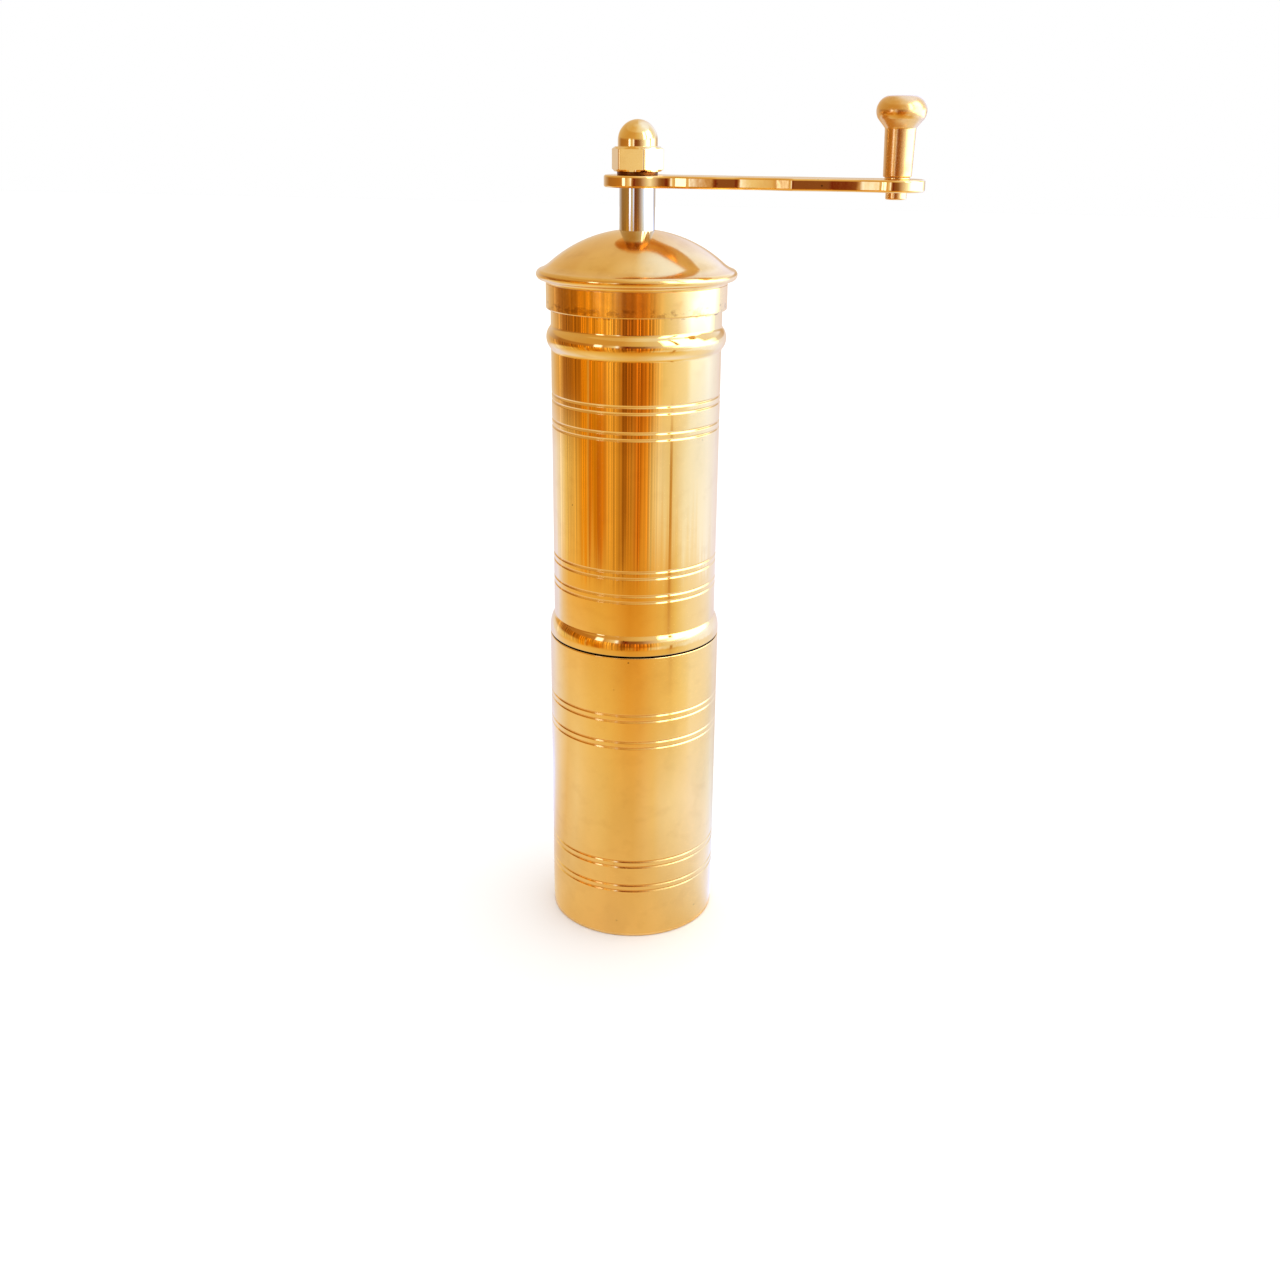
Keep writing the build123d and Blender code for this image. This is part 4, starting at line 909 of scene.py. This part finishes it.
# %% Cap nut
NUT_POWER = 60
HEX_HEIGHT, NUT_DOME_RADIUS, CHAMFER = 5.0, 4.25, 0.55
HEX_FACETS = 360
nut_low, nut_high = reach("cap_nut")
half_flats = (nut_high[1] - nut_low[1]) / 2
corner = (nut_high[0] - nut_low[0]) / 2
nut_bottom, nut_crown = nut_low[2], nut_high[2]
hex_top, dome_base = nut_bottom + HEX_HEIGHT, nut_crown - NUT_DOME_RADIUS
envelope = rounded(
    [(0, nut_bottom), (shaft_radius + 1.2, nut_bottom, 0), (half_flats, nut_bottom, 0.1),
     (corner, nut_bottom + CHAMFER, 0.3), (corner, hex_top - CHAMFER, 0.3),
     (half_flats - 0.15, hex_top, 0.15), (NUT_DOME_RADIUS, hex_top, 0.12),
     (NUT_DOME_RADIUS, dome_base), *arc((0, dome_base), NUT_DOME_RADIUS, 2, 90, 28)],
    closed=False,
)
angle = np.arange(HEX_FACETS) * 2 * pi / HEX_FACETS
faces_at = np.radians(np.arange(30, 390, 60))
powers = np.maximum(np.cos(angle[:, None] - faces_at), 0) ** NUT_POWER
hexagon = half_flats * powers.sum(1) ** (-1 / NUT_POWER)
rings = envelope[1:-1]
radii = np.minimum(rings[:, :1], hexagon)
points = np.stack([radii * np.cos(angle), radii * np.sin(angle),
                   np.repeat(rings[:, 1:], HEX_FACETS, 1)], 2).reshape(-1, 3)
faces = strip_faces(len(rings), HEX_FACETS, 0).tolist()
faces += pole_faces(len(rings), HEX_FACETS, len(points))
points = np.vstack([points, [0, 0, nut_bottom], [0, 0, nut_crown]])
finish_piece("cap_nut_skin", points, faces, "rotor", nut_brass, ["cap_nut"])

# %% [markdown]
# ## The crank arm
# The arm is cut from flat bar and filed by hand. Its plan is a round hub, a bar that swells
# and narrows, and a round end. The side wall is the plan's outline carried up through a
# small rounding at both faces, and the two flat faces are filled around their holes.

# %% Crank arm
HUB_BLEND, END_BLEND = 7.0, 4.0
ARM_START_HALF = 4.6  # half width where the slopes start
ARM_SLOPES = (  # place along the arm, how fast the half width grows there
    (7.5, -0.15), (8.8, 0.0), (9.5, 0.17), (11.8, 0.17), (12.6, -0.03), (17.4, -0.04),
    (18.6, -0.16), (21.8, -0.16), (23.4, 0.03), (26, 0.07), (30, 0.13), (31, 0.21),
    (33.7, 0.21), (34.6, -0.11), (41, -0.11), (42.5, -0.02), (47, 0.02), (49.2, 0.12),
)
ARM_EDGE = 0.45
hub_radius = -arm_low[0]
crank_radius = knob_axis[0]
end_radius = arm_high[0] - crank_radius


def blend_centre(centre, radius, start, heading, size, nearer):
    """The centre of a blend of that size between a circle and a run through start.

    It lies size away from the run, on its left, and radius + size from the circle's centre.
    """
    heading = np.array([cos(radians(heading)), sin(radians(heading))])
    base = start + size * np.array([-heading[1], heading[0]]) - centre
    half = base @ heading
    root = sqrt(half**2 - base @ base + (radius + size) ** 2)
    return centre + base + heading * (-half - root if nearer else -half + root)


def arm_plan():
    """The arm's outline, anticlockwise: one side from hub to tip, and its mirror image.

    The bar's half width is the running sum of its slope. A blend joins it to the hub and
    another to the round end, each square to both.
    """
    places, slopes = np.array(ARM_SLOPES).T
    x = np.linspace(places[0], places[-1], 240)
    slope = np.interp(x, places, slopes)
    growth = np.cumsum((slope[1:] + slope[:-1]) / 2)
    half = ARM_START_HALF + np.concatenate([[0], growth]) * (x[1] - x[0])
    hub, tip = np.zeros(2), np.array([crank_radius, 0.0])
    out, back = degrees(atan2(slopes[0], 1)), degrees(atan2(slopes[-1], 1))
    first = blend_centre(hub, hub_radius, np.array([x[0], half[0]]), out, HUB_BLEND, False)
    second = blend_centre(tip, end_radius, np.array([x[-1], half[-1]]), back, END_BLEND, True)
    off_hub, on_tip = bearing_from(hub, first), bearing_from(tip, second)
    leave = arc(first, HUB_BLEND, off_hub - 180, out - 90, 16)
    arrive = arc(second, END_BLEND, back - 90, on_tip - 180, 16)
    print("arm's blends end and start at", leave[-1].round(2), arrive[0].round(2))
    bar = np.column_stack([x, half])
    bar = bar[(x > leave[-1, 0]) & (x < arrive[0, 0])]
    side = np.vstack([
        arc(hub, hub_radius, 180, off_hub, 40), leave[1:], bar, arrive[:-1],
        arc(tip, end_radius, on_tip, 0, 32),
    ])
    return np.vstack([side * [1, -1], side[::-1][1:-1]])


def plate(name, plan, holes, low, high, edge, body, material, stands_for):
    """A flat plate: rings of its plan, set in along the plan's normals, make the rounded
    wall, and the two flats are filled between the innermost rings and the holes."""
    run = np.roll(plan, -1, 0) - np.roll(plan, 1, 0)
    normal = np.column_stack([run[:, 1], -run[:, 0]]) / np.hypot(*run.T)[:, None]
    bend = np.radians(np.linspace(0, 90, CORNER_POINTS))
    inset = np.concatenate([[edge + GUARD], edge * (1 - np.sin(bend)), [0]])
    height = np.concatenate([[0], edge * (1 - np.cos(bend)), [edge + GUARD]])
    inset, height = np.append(inset, inset[::-1]), np.append(low + height, high - height[::-1])
    rings = [plan - normal * step for step in inset]
    wall = np.concatenate(
        [np.stack(rings), np.broadcast_to(height[:, None, None], (len(inset), len(plan), 1))], 2
    )
    points, quads = wall.reshape(-1, 3), [strip_faces(len(inset), len(plan), 0)]
    first = np.arange(len(plan))
    lids = [[first], [first + (len(inset) - 1) * len(plan)]]
    for hole in holes:
        loop = hole[::-1]
        base = len(points)
        rings = [np.column_stack([loop, np.full(len(loop), z)]) for z in (low, high)]
        points = np.vstack([points, *rings])
        quads.append(strip_faces(2, len(loop), base))
        lids[0].append(base + np.arange(len(loop)))
        lids[1].append(base + len(loop) + np.arange(len(loop)))
    faces = np.vstack(quads).tolist()
    for loops, flip in zip(lids, (-1, 1)):
        order = np.concatenate(loops)
        filled = tessellate_polygon([[Vector(point) for point in points[loop]] for loop in loops])
        triangles = points[order][np.array(filled)]
        way = np.cross(triangles[:, 1] - triangles[:, 0], triangles[:, 2] - triangles[:, 0])[:, 2]
        listed = order[np.array(filled)]
        listed[way * flip < 0] = listed[way * flip < 0][:, ::-1]
        faces += listed.tolist()
    return finish_piece(name, points, faces, body, material, stands_for)


SHAFT_FLAT = 2.3  # from the shaft's axis to each flat
flat = degrees(np.arccos(SHAFT_FLAT / shaft_radius))
seat_hole = arc((0, 0), shaft_radius, flat - 90, 90 - flat, 16)
seat_hole = np.vstack([seat_hole, -seat_hole])
rivet_hole = arc((crank_radius, 0), PIN_SHANK_RADIUS, 0, 350, 36)
plate("crank_arm_skin", arm_plan(), [seat_hole, rivet_hole], arm_low[2], arm_high[2], ARM_EDGE,
      "rotor", buffed_brass, ["crank_arm"])

# %% [markdown]
# ## The spring
# The spring hangs between the bush, which belongs to the barrel, and a collar on the shaft,
# which rises and falls as the grind is set. So its coils have to crowd together and spread.

# %% Burr spring
SPRING_WIRE = 0.5
SPRING_PITCH = 2.15
RINGS_PER_TURN = 48
WIRE_FACETS = 14


def coil_spring(wire, mean, pitch, low, high):
    """A wire on a helix: centre (mean cos t, mean sin t, low + pitch t / 2 pi), and round it
    a circle in the plane of the outward line and the line across the wire."""
    lead = np.arctan2(pitch, 2 * pi * mean)
    start, end = low + wire * cos(lead), high - wire * cos(lead)
    turns = (end - start) / pitch
    t = np.linspace(0, turns * 2 * pi, int(turns * RINGS_PER_TURN))[:, None]
    around = np.linspace(0, 2 * pi, WIRE_FACETS, endpoint=False)[None]
    out, up = wire * np.cos(around), wire * np.sin(around)
    x = (mean + out) * np.cos(t) + up * sin(lead) * np.sin(t)
    y = (mean + out) * np.sin(t) - up * sin(lead) * np.cos(t)
    z = start + pitch * t / (2 * pi) + up * cos(lead)
    return np.stack([x, y, z], 2)


spring_low, spring_high = reach("burr_spring")
spring_mean = spring_high[0] - SPRING_WIRE
wire_rings = coil_spring(SPRING_WIRE, spring_mean, SPRING_PITCH, spring_low[2], spring_high[2])
count, around = len(wire_rings), np.arange(WIRE_FACETS)
points = wire_rings.reshape(-1, 3)
ends = [around[::-1].tolist(), ((count - 1) * WIRE_FACETS + around).tolist()]
faces = strip_faces(count, WIRE_FACETS, 0).tolist() + ends
spring = finish_piece("burr_spring_skin", points, faces, None, plain_steel,
                      ["burr_spring"])
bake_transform(spring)

# %% [markdown]
# ## The pieces inside
# The bridges, burrs, ball and screws keep their mechanical meshes. They only need their
# metals.

# %% Metals of the inner pieces
INNER = {
    cast_brass: ("upper_bridge", "lower_bridge", "adjusting_wheel"),
    bronze: ("upper_bush",),
    ball_steel: ("thrust_ball",),
    hard_steel: ("burr_ring", "inner_burr"),
    plain_steel: ("bridge_screws", "lock_nut", "adjusting_screw", "drive_shaft",
                  "burr_pin", "spring_collar", "collar_clip"),
}
for material, names in INNER.items():
    for name in names:
        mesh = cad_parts[name].data
        mesh.materials.clear()
        mesh.materials.append(material)
print("inner pieces with a metal:", sum(len(names) for names in INNER.values()))
